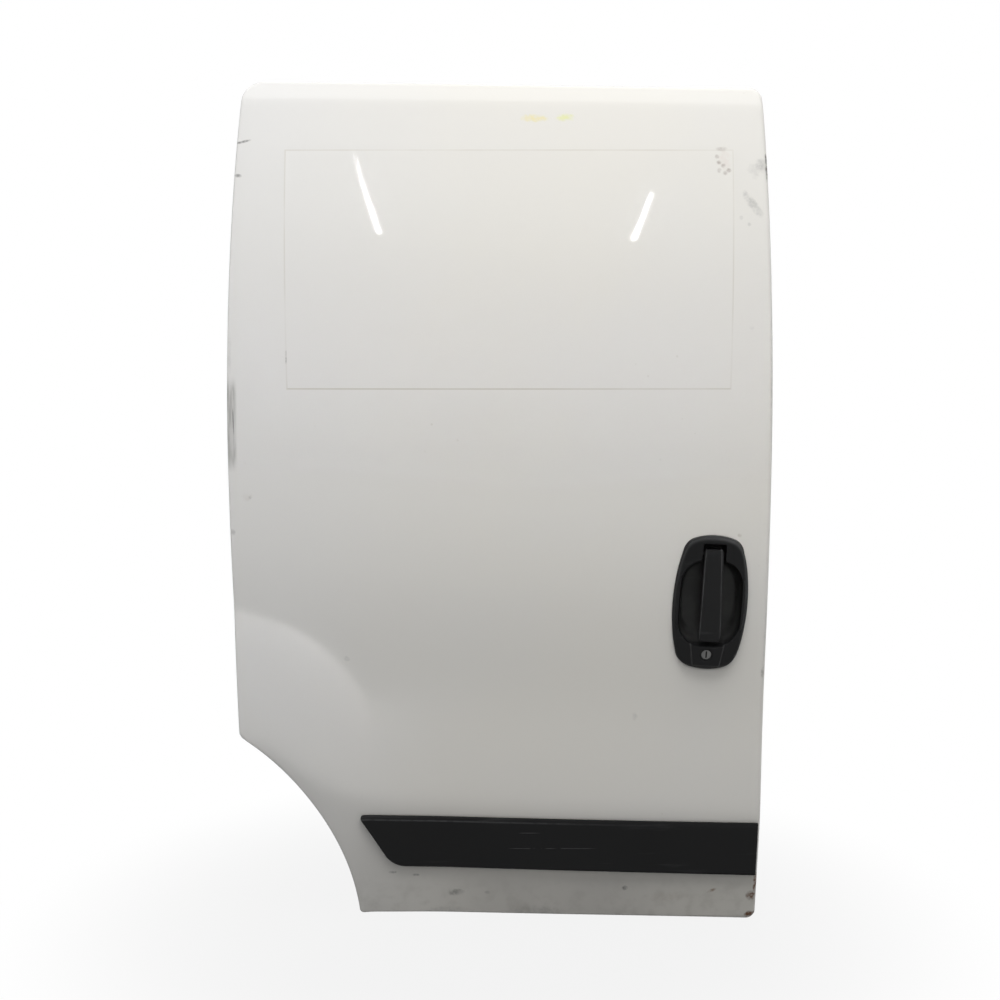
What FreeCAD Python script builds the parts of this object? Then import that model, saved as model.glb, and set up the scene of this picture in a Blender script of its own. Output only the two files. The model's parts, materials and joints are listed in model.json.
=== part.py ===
"""Right-hand sliding side door of a small panel van, as a parametric assembly of its pieces.

Millimetres. +X points to the front of the van, +Y into the van, +Z up. The origin is the centre of the
flat seat on the inner panel where the centre roller guide is bolted on.
"""
import FreeCAD
import Part
import Sketcher
import math
import os

from FreeCAD import Placement, Rotation, Vector

doc = FreeCAD.newDocument("van_sliding_door")

# Driving dimensions, one cell each
SIZES = {
    # door outline, seen from outside
    "door_width": 768, "seat_inset": 75, "top_rear_height": 491, "top_front_height": 481,
    "bottom_front_drop": 754, "bottom_rear_drop": 737.5, "rear_edge_bow": 7,
    "arch_radius": 384.5, "arch_centre_back": 208, "arch_centre_drop": 772,
    "top_rear_round": 30, "top_front_round": 18, "bottom_front_round": 14,
    "bottom_rear_round": 6, "arch_corner_round": 16,
    # section of the outer skin
    "seat_depth": 56, "waist_drop": 63, "roof_radius": 950, "side_radius": 1800, "lean_start": 230,
    "plan_bow": 6, "bend_width": 10,
    "flare_radius": 230, "flare_centre_back": 21, "flare_centre_drop": 497.5,
    "flare_slope_rear": 0.15, "flare_slope_front": 0.12, "flare_ease_start": 104, "flare_ease_length": 220,
    "flare_line_drop": 413, "flare_line_fall": 0.045, "flare_blend": 10,
    "sill_line_drop": 566.5, "sill_line_fall": 0.046, "sill_slope": 0.20,
    "sill_rise": 92, "sill_rise_forward": 14, "sill_rise_length": 103,
    "lip_height": 455, "lip_fall": 0.014, "lip_slope": 0.30,
    # sheet metal
    "sheet_gauge": 0.9, "rim_depth": 8, "hem_width": 11, "seam_gap": 0.05, "overhang": 22,
    # inner panel
    "inner_flat_top": 75, "inner_flat_drop": 130, "inner_roof_radius": 533, "inner_knee_drop": 520,
    "inner_knee_in": 23, "inner_foot_drop": 760, "inner_foot_in": 57,
    "relief_width": 112, "relief_height": 100, "relief_round": 28,
    "relief_pitch": 190, "relief_low": 165, "relief_high": 322,
    # centre guide seat
    "seat_width": 84, "seat_height": 130, "seat_plate": 3, "seat_hole_gap_x": 52,
    "seat_hole_gap_z": 84, "seat_hole_radius": 4.5, "bolt_hole_room": 1.5,
    # outside handle, in its own tilted frame
    "handle_forward": 684, "handle_drop": 255, "handle_lean": 5.6, "handle_tilt": 3,
    "escutcheon_width": 107, "escutcheon_height": 198, "escutcheon_proud": 9, "escutcheon_round": 24,
    "escutcheon_edge": 4, "escutcheon_wall": 2.5, "escutcheon_lap": 3.5,
    "bowl_width": 91, "bowl_top": 64, "bowl_drop": 62, "bowl_depth": 26, "bowl_round": 38,
    "bowl_floor_edge": 12, "pocket_width": 36, "pocket_top": 86, "pocket_depth": 22, "pocket_round": 5,
    "shield_top_width": 48, "shield_low_width": 39, "shield_drop": 92, "shield_proud": 2,
    "gasket_gauge": 1.2, "gasket_inset": 0.8, "gasket_back": 0.5,
    "grip_width": 27.5, "grip_foot_width": 32, "grip_top": 80, "grip_drop": 56, "grip_thickness": 11,
    "grip_proud": 5, "grip_round": 3.5, "grip_foot_shift": 2.5, "grip_lug_width": 20,
    "pivot_height": 70, "pivot_depth": 8, "pivot_radius": 2.5, "lug_wall": 4,
    "lock_radius": 7, "lock_drop": 76, "lock_length": 26, "lock_proud": 0.5, "lock_boss_proud": 2.5,
    "lock_tail": 3.5, "running_gap": 0.08, "key_slot": 2, "key_length": 10, "key_depth": 6,
    # lower rubbing strip
    "strip_rear_gap": 182, "strip_front_gap": 4, "strip_top_rear_drop": 576, "strip_top_front_drop": 592,
    "strip_bottom_rear_drop": 659, "strip_bottom_front_drop": 676, "strip_rake": 62, "strip_proud": 9,
    "strip_belly": 14, "strip_round": 8, "strip_bevel": 5, "strip_bevel_height": 24,
    # inside trim and inner release
    "trim_inset": 48, "trim_top_drop": 84, "trim_low_drop": 596, "trim_gauge": 3,
    "release_forward": 605, "release_top_drop": 150, "release_width": 64, "release_height": 118,
    "release_plate": 7, "release_frame": 12, "release_round": 12, "lever_gap": 5, "lever_round": 4,
    "lever_thickness": 10,
    # frame stiffeners
    "waist_low": 12, "waist_high": 70, "waist_deep": 24, "waist_flange": 12, "waist_end_gap": 3,
    "brace_width": 46, "brace_waist_gap": 12, "brace_top": 441, "brace_deep": 12, "brace_gap": 4,
    "pad_width": 30, "pad_height": 44, "pad_end_gap": 8,
    # latches, locating pin and buffer on the side walls
    "latch_width": 26, "latch_height": 92, "latch_plate": 2.5, "latch_slot": 12, "latch_in": 16,
    "front_latch_drop": 262, "rear_latch_drop": 190, "claw_inset": 4, "claw_thickness": 6, "claw_gap": 3,
    "latch_side_lap": 3, "latch_end_lap": 20,
    "pin_height": 60, "pin_radius": 8, "pin_shoulder": 9.9, "pin_nose_radius": 5.2, "pin_length": 18,
    "buffer_drop": 105, "buffer_radius": 10, "buffer_length": 12,
    # upper and lower roller arms
    "upper_arm_forward": 708, "upper_arm_height": 372, "upper_arm_width": 58, "upper_arm_reach": 176,
    "upper_foot_low": 40, "upper_foot_high": 56, "upper_arm_end": 15,
    "upper_roller_radius": 11, "upper_roller_height": 10,
    "lower_arm_forward": 668, "lower_arm_drop": 672, "lower_arm_width": 130, "lower_arm_reach": 158,
    "lower_foot_low": 34, "lower_foot_high": 46, "load_tab_short": 36, "load_tab_height": 40,
    "load_axle_back": 26, "load_axle_rise": 5, "guide_axle_in": 26, "guide_axle_short": 14,
    "guide_roller_radius": 12, "guide_roller_height": 11, "load_roller_radius": 17, "load_roller_width": 11,
    "arm_plate": 4, "foot_round": 8, "stud_radius": 4, "stud_end": 2,
}
sheet = doc.addObject("Spreadsheet::Sheet", "Sizes")
for row, (alias, value) in enumerate(SIZES.items(), start=1):
    sheet.set(f"A{row}", alias)
    sheet.set(f"B{row}", str(value))
    sheet.setAlias(f"B{row}", alias)
doc.recompute()


def size(alias):
    """Value of one cell of the sheet."""
    return float(sheet.get(alias))


REAR = -size("seat_inset")
FRONT = REAR + size("door_width")
MIDDLE = (REAR + FRONT) / 2
GAUGE = size("sheet_gauge")
SEAM = size("seam_gap")
FAR = 400.0


# Shape of the outer skin

def soft_ramp(distance, width):
    """Zero for negative distance, the distance itself for positive, with a bend of the given width."""
    if distance > 30 * width:
        return distance
    return width * math.log1p(math.exp(distance / width))


def smooth_step(t):
    """Rise from 0 to 1 with level ends."""
    t = min(max(t, 0.0), 1.0)
    return t * t * (3 - 2 * t)


def body_section(z):
    """Inward depth of the plain door section: a roof arc above the waist, a flatter arc, then a straight."""
    u = z + size("waist_drop")
    roof = size("roof_radius")
    side = size("side_radius")
    start = size("lean_start")
    if u >= 0:
        return roof - math.sqrt(roof ** 2 - u ** 2)
    if u >= -start:
        return side - math.sqrt(side ** 2 - u ** 2)
    slope = start / math.sqrt(side ** 2 - start ** 2)
    return side - math.sqrt(side ** 2 - start ** 2) + slope * (-start - u)


def flare_line(x):
    """Height of the wheel-arch flare: a circle over the arch that runs out into a level line."""
    across = x - (REAR - size("flare_centre_back"))
    over = math.sqrt(max(size("flare_radius") ** 2 - across ** 2, 0.0)) - size("flare_centre_drop")
    level = -size("flare_line_drop") - size("flare_line_fall") * (x - MIDDLE)
    blend = size("flare_blend")
    top = max(over, level)
    return top + blend * math.log1p(math.exp(-abs(over - level) / blend))


def sill_line(x):
    """Height of the sill bend, which lifts over the wheel arch."""
    along = (x - REAR - size("sill_rise_forward")) / size("sill_rise_length")
    lift = size("sill_rise") * math.exp(-along ** 2)
    return lift - size("sill_line_drop") - size("sill_line_fall") * (x - MIDDLE)


def skin_y(x, z):
    """Y of the outside face of the skin."""
    ahead = smooth_step((x - REAR - size("flare_ease_start")) / size("flare_ease_length"))
    flare = size("flare_slope_rear") + (size("flare_slope_front") - size("flare_slope_rear")) * ahead
    depth = body_section(z)
    bend = size("bend_width")
    depth -= flare * soft_ramp(flare_line(x) - z, bend * (1 + 3 * ahead))
    depth += size("sill_slope") * soft_ramp(sill_line(x) - z, bend)
    above_lip = z - size("lip_height") + size("lip_fall") * (x - REAR)
    depth += size("lip_slope") * soft_ramp(above_lip, 0.8 * bend)
    depth += size("plan_bow") * (2 * (x - MIDDLE) / size("door_width")) ** 2
    return depth - size("seat_depth")


def stations(stops):
    """Positions along one direction: each stop is the start of a stretch and the number of steps in it."""
    places = []
    for (start, steps), (end, _) in zip(stops, stops[1:]):
        for k in range(steps):
            places.append(start + (end - start) * k / steps)
    return places + [stops[-1][0]]


def skin_face():
    """Outside face of the skin, wider than the door all round, with close stations only at its bends."""
    margin = 40.0
    low = -size("bottom_front_drop") - margin
    high = size("top_rear_height") + margin
    flare_top = size("flare_radius") - size("flare_centre_drop") + 12
    sill_low = -size("sill_line_drop") - 42
    lip = size("lip_height")
    columns = stations([(REAR - margin, 10), (REAR + 260, 5), (FRONT + margin, 0)])
    rows = stations([(low, 6), (sill_low, 18), (flare_top, 8), (lip - 34, 6), (high, 0)])
    grid = [[Vector(x, skin_y(x, z), z) for z in rows] for x in columns]
    surface = Part.BSplineSurface()
    surface.interpolate(grid)
    return surface.toShape()


SKIN = skin_face()


def layer(near, far):
    """Space between two depths behind the outside face of the skin."""
    moved = SKIN.translated(Vector(0, near, 0))
    return moved.extrude(Vector(0, far - near, 0))


# Outline of the door

def outline_wire(inset):
    """Door outline drawn in by an inset: bowed rear edge, straight top, front and bottom, wheel-arch cut."""
    end_x = REAR + size("rear_edge_bow")
    arch_x = REAR - size("arch_centre_back")
    arch_z = -size("arch_centre_drop")
    arch_r = size("arch_radius")
    corner_z = arch_z + math.sqrt(arch_r ** 2 - (end_x - arch_x) ** 2)
    half = (size("top_rear_height") - corner_z) / 2
    bow = size("rear_edge_bow")
    rear_r = (half ** 2 + bow ** 2) / (2 * bow)
    rear_x = REAR + rear_r
    rear_z = corner_z + half
    top_fall = (size("top_front_height") - size("top_rear_height")) / (FRONT - end_x)
    floor_x = arch_x + math.sqrt(arch_r ** 2 - (arch_z + size("bottom_rear_drop")) ** 2)
    floor_fall = (size("bottom_rear_drop") - size("bottom_front_drop")) / (FRONT - floor_x)
    arch_r += inset
    rear_r -= inset
    front = FRONT - inset

    def top_z(x):
        return size("top_rear_height") + top_fall * (x - end_x) - inset * math.hypot(1, top_fall)

    def floor_z(x):
        return -size("bottom_front_drop") + floor_fall * (x - FRONT) + inset * math.hypot(1, floor_fall)

    top_rear = Vector(end_x, 0, rear_z + half)
    arch_top = Vector(end_x, 0, corner_z)
    bottom_rear = Vector(floor_x, 0, -size("bottom_rear_drop"))
    for _ in range(12):
        top_rear.x = rear_x - math.sqrt(rear_r ** 2 - (top_rear.z - rear_z) ** 2)
        top_rear.z = top_z(top_rear.x)
        arch_top.x = rear_x - math.sqrt(rear_r ** 2 - (arch_top.z - rear_z) ** 2)
        arch_top.z = arch_z + math.sqrt(arch_r ** 2 - (arch_top.x - arch_x) ** 2)
        bottom_rear.x = arch_x + math.sqrt(arch_r ** 2 - (bottom_rear.z - arch_z) ** 2)
        bottom_rear.z = floor_z(bottom_rear.x)
    top_front = Vector(front, 0, top_z(front))
    bottom_front = Vector(front, 0, floor_z(front))
    centre = Vector(arch_x, 0, arch_z)
    chord = (bottom_rear + arch_top) * 0.5 - centre
    arch_middle = centre + chord.normalize() * arch_r
    rear_middle = Vector(rear_x - rear_r, 0, rear_z)
    edges = [
        Part.Arc(arch_top, rear_middle, top_rear).toShape(),
        Part.makeLine(top_rear, top_front),
        Part.makeLine(top_front, bottom_front),
        Part.makeLine(bottom_front, bottom_rear),
        Part.Arc(bottom_rear, arch_middle, arch_top).toShape(),
    ]
    solid = Part.Face(Part.Wire(edges)).extrude(Vector(0, 10, 0))
    corners = [
        (top_rear, "top_rear_round"), (top_front, "top_front_round"), (bottom_front, "bottom_front_round"),
        (bottom_rear, "bottom_rear_round"), (arch_top, "arch_corner_round"),
    ]
    for corner, alias in corners:
        least = min(size(alias), 8)
        solid = solid.makeFillet(max(size(alias) - inset, least), [edge_at(solid, corner.x, corner.z)])
    ends = [face for face in solid.Faces if face.BoundBox.YLength < 0.01 and face.BoundBox.YMax < 0.01]
    return ends[0].OuterWire


def edge_at(solid, x, z):
    """The edge along Y that stands nearest to a point of the XZ plane."""
    upright = [e for e in solid.Edges if e.BoundBox.XLength < 0.01 and e.BoundBox.ZLength < 0.01]
    return min(upright, key=lambda e: math.hypot(e.CenterOfMass.x - x, e.CenterOfMass.z - z))


def door_prism(inset):
    """Door outline drawn in by an inset and run through the door along Y."""
    return Part.Face(outline_wire(inset)).translated(Vector(0, -FAR / 2, 0)).extrude(Vector(0, FAR, 0))


def bar(x_low, x_high, y_low, y_high, z_low, z_high, corner=0.0):
    """Box between limits, its corners rounded in the XZ plane."""
    solid = Part.makeBox(x_high - x_low, y_high - y_low, z_high - z_low, Vector(x_low, y_low, z_low))
    if corner:
        upright = [e for e in solid.Edges if e.BoundBox.XLength < 0.01 and e.BoundBox.ZLength < 0.01]
        solid = solid.makeFillet(corner, upright)
    return solid


def inner_y(z):
    """Y of the inside face of the inner panel."""
    face = -size("seat_plate")
    if z > size("inner_flat_top"):
        radius = size("inner_roof_radius")
        return face + radius - math.sqrt(radius ** 2 - (z - size("inner_flat_top")) ** 2)
    if z > -size("inner_flat_drop"):
        return face
    knee = size("inner_knee_drop")
    if z > -knee:
        share = (-z - size("inner_flat_drop")) / (knee - size("inner_flat_drop"))
        return face + size("inner_knee_in") * share
    share = (-z - knee) / (size("inner_foot_drop") - knee)
    return face + size("inner_knee_in") + (size("inner_foot_in") - size("inner_knee_in")) * share


def behind_inner(offset):
    """Everything outward of the inside face of the inner panel moved by an offset along Y."""
    face = -size("seat_plate") + offset
    bend = size("inner_flat_top")
    radius = size("inner_roof_radius") - offset
    turn = math.radians(62)
    centre_y = face + radius
    foot = Vector(REAR - 60, inner_y(-size("inner_foot_drop")) + offset, -size("inner_foot_drop"))
    knee = Vector(REAR - 60, inner_y(-size("inner_knee_drop")) + offset, -size("inner_knee_drop"))
    flat_low = Vector(REAR - 60, face, -size("inner_flat_drop"))
    flat_top = Vector(REAR - 60, face, bend)
    half = Vector(REAR - 60, centre_y - radius * math.cos(turn / 2), bend + radius * math.sin(turn / 2))
    top = Vector(REAR - 60, centre_y - radius * math.cos(turn), bend + radius * math.sin(turn))
    out_top = Vector(REAR - 60, -FAR / 2, top.z)
    out_low = Vector(REAR - 60, -FAR / 2, foot.z)
    edges = [
        Part.makeLine(foot, knee), Part.makeLine(knee, flat_low), Part.makeLine(flat_low, flat_top),
        Part.Arc(flat_top, half, top).toShape(), Part.makeLine(top, out_top),
        Part.makeLine(out_top, out_low), Part.makeLine(out_low, foot),
    ]
    return Part.Face(Part.Wire(edges)).extrude(Vector(size("door_width") + 120, 0, 0))


def inner_layer(near, far):
    """Space between two offsets inward of the inside face of the inner panel."""
    return behind_inner(far).cut(behind_inner(near))


def add_part(label, shape, placement=Placement()):
    """A sub-part whose shape the functions of this file make."""
    feature = doc.addObject("Part::Feature", label)
    feature.Label = label
    feature.Shape = shape
    feature.Placement = placement


# Handle frame: a point of the skin, leaning with it and tilted a little forward at the top
HANDLE_X = REAR + size("handle_forward")
HANDLE_Z = -size("handle_drop")
HANDLE = Placement(
    Vector(HANDLE_X, skin_y(HANDLE_X, HANDLE_Z), HANDLE_Z),
    Rotation(0, size("handle_tilt"), size("handle_lean")),
)


def escutcheon_prism(inset, near, far):
    """Barrel-shaped outline of the handle surround, drawn in by an inset, in the handle frame."""
    wide = size("escutcheon_width") / 2 - inset
    tall = size("escutcheon_height") / 2 - inset
    top = Vector(0.75 * wide, near, 0.915 * tall)
    low = Vector(0.775 * wide, near, -0.905 * tall)
    top_far = Vector(-top.x, near, top.z)
    low_far = Vector(-low.x, near, low.z)
    edges = [
        Part.Arc(top_far, Vector(0, near, tall), top).toShape(),
        Part.Arc(top, Vector(wide, near, 0.03 * tall), low).toShape(),
        Part.Arc(low, Vector(0, near, -tall), low_far).toShape(),
        Part.Arc(low_far, Vector(-wide, near, 0.03 * tall), top_far).toShape(),
    ]
    solid = Part.Face(Part.Wire(edges)).extrude(Vector(0, far - near, 0))
    upright = [e for e in solid.Edges if e.BoundBox.XLength < 0.01 and e.BoundBox.ZLength < 0.01]
    return solid.makeFillet(max(size("escutcheon_round") - inset, 3), upright)


def in_door(shape):
    """Move a shape from the handle frame to the door frame."""
    return shape.transformed(HANDLE.toMatrix())


def outer_skin():
    """Outside sheet with rounded edges, turned in and hemmed all round, holed behind the handle."""
    depth = size("rim_depth")
    slab = door_prism(0).common(layer(0, depth))
    hollow = door_prism(GAUGE).common(layer(GAUGE, depth - GAUGE))
    hem_hole = door_prism(size("hem_width")).common(layer(depth / 2, depth * 2))
    hole = in_door(escutcheon_prism(size("escutcheon_lap"), -40, 60))
    return slab.cut(hollow).cut(hem_hole).cut(hole)


def inner_panel():
    """Pressed inner pan: floor, side walls and a flange that is caught in the hem of the skin."""
    over = size("overhang")
    flange_far = size("rim_depth") - GAUGE - SEAM
    flange_near = flange_far - GAUGE
    pan = door_prism(over).common(behind_inner(0))
    pan = pan.cut(door_prism(over + GAUGE).common(behind_inner(-GAUGE)))
    pan = pan.common(layer((flange_near + flange_far) / 2, FAR))
    ring = door_prism(GAUGE + SEAM).cut(door_prism(over + GAUGE / 2))
    panel = pan.fuse(ring.common(layer(flange_near, flange_far)))
    return panel.cut(reliefs()).cut(wall_openings()).cut(seat_bolt_holes())


def wall_layer(near, far):
    """Space between two distances outside the side walls of the inner panel."""
    over = size("overhang")
    return door_prism(over - far).cut(door_prism(over - near))


def reliefs():
    """Six lightening holes of the inner panel above the waist."""
    half = size("relief_width") / 2
    tall = size("relief_height") / 2
    holes = []
    for x in (MIDDLE - size("relief_pitch"), MIDDLE, MIDDLE + size("relief_pitch")):
        for z in (size("relief_low"), size("relief_high")):
            hole = bar(x - half, x + half, -FAR / 2, FAR / 2, z - tall, z + tall, size("relief_round"))
            holes.append(hole)
    return Part.makeCompound(holes)


def rod(radius, start, end):
    """Round bar between two points."""
    along = end - start
    return Part.makeCylinder(radius, along.Length, start, along)


def lower_strip():
    """Rubbing strip that follows the skin, its rear end raked and rounded."""
    rear = REAR + size("strip_rear_gap")
    front = FRONT - size("strip_front_gap")
    foot = rear + size("strip_rake")
    top_rear = Vector(rear, -FAR / 2, -size("strip_top_rear_drop"))
    top_front = Vector(front, -FAR / 2, -size("strip_top_front_drop"))
    low_front = Vector(front, -FAR / 2, -size("strip_bottom_front_drop"))
    low_rear = Vector(foot, -FAR / 2, -size("strip_bottom_rear_drop"))
    belly = (top_rear + low_rear) * 0.5 + Vector(-size("strip_belly"), 0, -size("strip_belly") / 2)
    edges = [
        Part.makeLine(top_rear, top_front), Part.makeLine(top_front, low_front),
        Part.makeLine(low_front, low_rear), Part.Arc(low_rear, belly, top_rear).toShape(),
    ]
    prism = Part.Face(Part.Wire(edges)).extrude(Vector(0, FAR, 0))
    prism = prism.makeFillet(size("strip_round"), [edge_at(prism, top_rear.x, top_rear.z)])
    strip = prism.common(layer(-size("strip_proud"), -SEAM))
    fall = (top_front.z - top_rear.z) / (front - rear)
    beyond = 50.0
    start = rear - beyond
    run = FRONT + beyond - start
    face_y = skin_y(MIDDLE, top_rear.z - size("strip_bevel_height")) - size("strip_proud")
    bevel_low = top_rear.z - size("strip_bevel_height") - beyond * fall
    bevel_high = bevel_low + 2 * size("strip_bevel_height")
    wedge = Part.makePolygon([
        Vector(start, face_y, bevel_low), Vector(start, face_y + 2 * size("strip_bevel"), bevel_high),
        Vector(start, face_y - beyond, bevel_high), Vector(start, face_y - beyond, bevel_low),
        Vector(start, face_y, bevel_low),
    ])
    return strip.cut(Part.Face(wedge).extrude(Vector(run, 0, fall * run)))


def bowl_bar(grow, near):
    """Finger bowl grown by a wall, its floor edge sloped."""
    half = size("bowl_width") / 2 + grow
    deep = size("bowl_depth") + grow
    low = -size("bowl_drop") - grow
    solid = bar(-half, half, near, deep, low, size("bowl_top") + grow, size("bowl_round") + grow)
    floor = [e for e in solid.Edges if e.BoundBox.YMin > deep - 0.01]
    return solid.makeChamfer(size("bowl_floor_edge") + grow, floor)


def pocket_bar(grow, near):
    """Pocket around the top of the grip, grown by a wall."""
    half = size("pocket_width") / 2 + grow
    deep = size("pocket_depth") + grow
    return bar(-half, half, near, deep, 0, size("pocket_top") + grow, size("pocket_round") + grow)


def lock_shield():
    """Raised shield on the surround that frames the lock, from the bowl down to the rim."""
    proud = size("escutcheon_proud")
    front = -proud - size("shield_proud")
    top = size("shield_top_width") / 2
    low = size("shield_low_width") / 2
    high_z = -size("bowl_drop")
    low_z = -size("shield_drop")
    plan = Part.makePolygon([
        Vector(-top, front, high_z), Vector(top, front, high_z), Vector(low, front, low_z),
        Vector(-low, front, low_z), Vector(-top, front, high_z),
    ])
    return Part.Face(plan).extrude(Vector(0, size("escutcheon_wall") + size("shield_proud"), 0))


def handle_escutcheon():
    """Handle surround seated on the gasket, with a finger bowl, a grip pocket, a lock boss and its shield."""
    proud = size("escutcheon_proud")
    wall = size("escutcheon_wall")
    rim = escutcheon_prism(0, -proud, 14)
    front_edges = [e for e in rim.Edges if e.BoundBox.YMax < -proud + 0.01]
    rim = in_door(rim.makeChamfer(size("escutcheon_edge"), front_edges))
    rim = rim.cut(layer(-size("gasket_gauge"), FAR))
    lock = Vector(0, 0, -size("lock_drop"))
    deep = Vector(0, 1, 0)
    bore = size("lock_radius") + size("running_gap")
    boss_end = size("lock_length") - proud - size("lock_proud") - size("lock_tail")
    inside_rim = wall - proud
    housing = bowl_bar(wall, inside_rim).fuse(pocket_bar(wall, inside_rim)).fuse(lock_shield())
    boss_face = lock - deep * (proud + size("lock_boss_proud"))
    housing = housing.fuse(rod(bore + wall, boss_face, lock + deep * boss_end))
    pivot = Vector(0, size("pivot_depth"), size("pivot_height"))
    half = Vector(size("pocket_width") / 2 + wall + 1, 0, 0)
    hollow = bowl_bar(0, -40).fuse(pocket_bar(0, -40))
    hollow = hollow.fuse(rod(size("pivot_radius") + SEAM, pivot - half, pivot + half))
    hollow = hollow.cut(rod(bore + wall, lock - deep * 60, lock + deep * boss_end))
    hollow = hollow.fuse(rod(bore, lock - deep * 60, lock + deep * 60))
    return rim.fuse(in_door(housing)).cut(in_door(hollow))


def handle_gasket():
    """Thin rubber ring between the handle surround and the skin."""
    inner = size("escutcheon_lap") - size("gasket_back")
    ring = escutcheon_prism(size("gasket_inset"), -30, 40).cut(escutcheon_prism(inner, -30, 40))
    return in_door(ring).common(layer(2 * SEAM - size("gasket_gauge"), -2 * SEAM))


def rounded_section(half, shift, front, thick, corner, z):
    """Rounded rectangle across the grip at one height."""
    left = shift - half
    right = shift + half
    back = front + thick
    tip = corner * (1 - math.sqrt(0.5))
    edges = [
        Part.makeLine(Vector(left + corner, front, z), Vector(right - corner, front, z)),
        Part.Arc(Vector(right - corner, front, z), Vector(right - tip, front + tip, z),
                 Vector(right, front + corner, z)).toShape(),
        Part.makeLine(Vector(right, front + corner, z), Vector(right, back - corner, z)),
        Part.Arc(Vector(right, back - corner, z), Vector(right - tip, back - tip, z),
                 Vector(right - corner, back, z)).toShape(),
        Part.makeLine(Vector(right - corner, back, z), Vector(left + corner, back, z)),
        Part.Arc(Vector(left + corner, back, z), Vector(left + tip, back - tip, z),
                 Vector(left, back - corner, z)).toShape(),
        Part.makeLine(Vector(left, back - corner, z), Vector(left, front + corner, z)),
        Part.Arc(Vector(left, front + corner, z), Vector(left + tip, front + tip, z),
                 Vector(left + corner, front, z)).toShape(),
    ]
    return Part.Wire(edges)


def handle_grip():
    """Pull grip: a bar lofted through rounded sections, wider at the foot, with a lug for the pivot pin."""
    out = -size("escutcheon_proud") - size("grip_proud")
    thick = size("grip_thickness")
    top = size("grip_top")
    foot = -size("grip_drop")
    narrow = size("grip_width") / 2
    wide = size("grip_foot_width") / 2
    corner = size("grip_round")
    shift = size("grip_foot_shift")
    span = top - foot
    sections = [
        rounded_section(narrow - 2, 0, out + 4.5, thick - 3.5, corner, top),
        rounded_section(narrow, 0, out + 2, thick - 1, corner, top - 0.05 * span),
        rounded_section(narrow, 0, out + 0.4, thick, corner, top - 0.35 * span),
        rounded_section((narrow + wide) / 2, shift / 2, out, thick, corner, top - 0.65 * span),
        rounded_section(wide, shift, out + 1.2, thick - 1, corner, foot + 0.07 * span),
        rounded_section(wide - 2, shift, out + 3.2, thick - 3.5, corner, foot),
    ]
    grip = Part.makeLoft(sections, True, True)
    lug = size("grip_lug_width") / 2
    pivot = Vector(0, size("pivot_depth"), size("pivot_height"))
    reach = size("pivot_radius") + size("lug_wall")
    side = Vector(lug, 0, 0)
    knuckle = rod(reach, pivot - side, pivot + side)
    knuckle = knuckle.fuse(bar(-lug, lug, out + thick - 4, pivot.y, pivot.z - reach, pivot.z + reach))
    bore = rod(size("pivot_radius") + size("running_gap"), pivot - side * 2, pivot + side * 2)
    return grip.fuse(knuckle).cut(bore)


def grip_pivot_pin():
    """Steel pin across the grip pocket."""
    half = Vector(size("pocket_width") / 2 + size("escutcheon_wall"), 0, 0)
    pivot = Vector(0, size("pivot_depth"), size("pivot_height"))
    return rod(size("pivot_radius"), pivot - half, pivot + half)


def lock_barrel():
    """Key barrel with a slot across its face."""
    front = -size("escutcheon_proud") - size("lock_proud")
    start = Vector(0, front, -size("lock_drop"))
    barrel = rod(size("lock_radius"), start, start + Vector(0, size("lock_length"), 0))
    slot = size("key_slot") / 2
    tall = size("key_length") / 2
    key = bar(-slot, slot, front - 5, front + size("key_depth"), start.z - tall, start.z + tall)
    return barrel.cut(key)


def trim_board():
    """Inside trim board over the lower part of the door."""
    zone = door_prism(size("trim_inset"))
    zone = zone.common(bar(REAR, FRONT, -FAR / 2, FAR / 2, -size("trim_low_drop"), -size("trim_top_drop")))
    return zone.common(inner_layer(SEAM, size("trim_gauge")))


def release_bar(inset, corner):
    """Outline of the inner release, drawn in by an inset, run through the door."""
    x = REAR + size("release_forward")
    high = -size("release_top_drop")
    half = size("release_width") / 2
    low = high - size("release_height")
    return bar(x - half + inset, x + half - inset, -FAR / 2, FAR / 2, low + inset, high - inset, corner)


def release_bezel():
    """Frame on the trim board around the inner release lever."""
    near = size("trim_gauge") + SEAM
    frame = release_bar(0, size("release_round"))
    frame = frame.cut(release_bar(size("release_frame"), size("release_round") / 2))
    return frame.common(inner_layer(near, near + size("release_plate")))


def release_lever():
    """Paddle lever inside the frame, standing a little proud of it."""
    near = size("trim_gauge") + SEAM
    paddle = release_bar(size("release_frame") + size("lever_gap"), size("lever_round"))
    return paddle.common(inner_layer(near, near + size("lever_thickness")))


def brace():
    """Upright channel behind the skin, in the middle of the door above the waist."""
    near = GAUGE + size("brace_gap")
    half = size("brace_width") / 2
    low = size("waist_high") + size("brace_waist_gap")
    high = size("brace_top")
    channel = bar(MIDDLE - half, MIDDLE + half, -FAR / 2, FAR / 2, low, high)
    channel = channel.common(layer(near, near + size("brace_deep")))
    half -= GAUGE
    inside = bar(MIDDLE - half, MIDDLE + half, -FAR / 2, FAR / 2, low - 5, high + 5)
    return channel.cut(inside.common(layer(near + GAUGE, near + 3 * size("brace_deep"))))


def mastic_pads():
    """Anti-flutter pads that bond the brace to the skin."""
    half = size("pad_width") / 2
    tall = size("pad_height") / 2
    low = size("waist_high") + size("brace_waist_gap") + size("pad_end_gap") + tall
    high = size("brace_top") - size("pad_end_gap") - tall
    pads = []
    for k in range(4):
        z = low + (high - low) * k / 3
        pads.append(bar(MIDDLE - half, MIDDLE + half, -FAR / 2, FAR / 2, z - tall, z + tall))
    return Part.makeCompound(pads).common(layer(GAUGE + SEAM, GAUGE + size("brace_gap") - SEAM))


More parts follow.
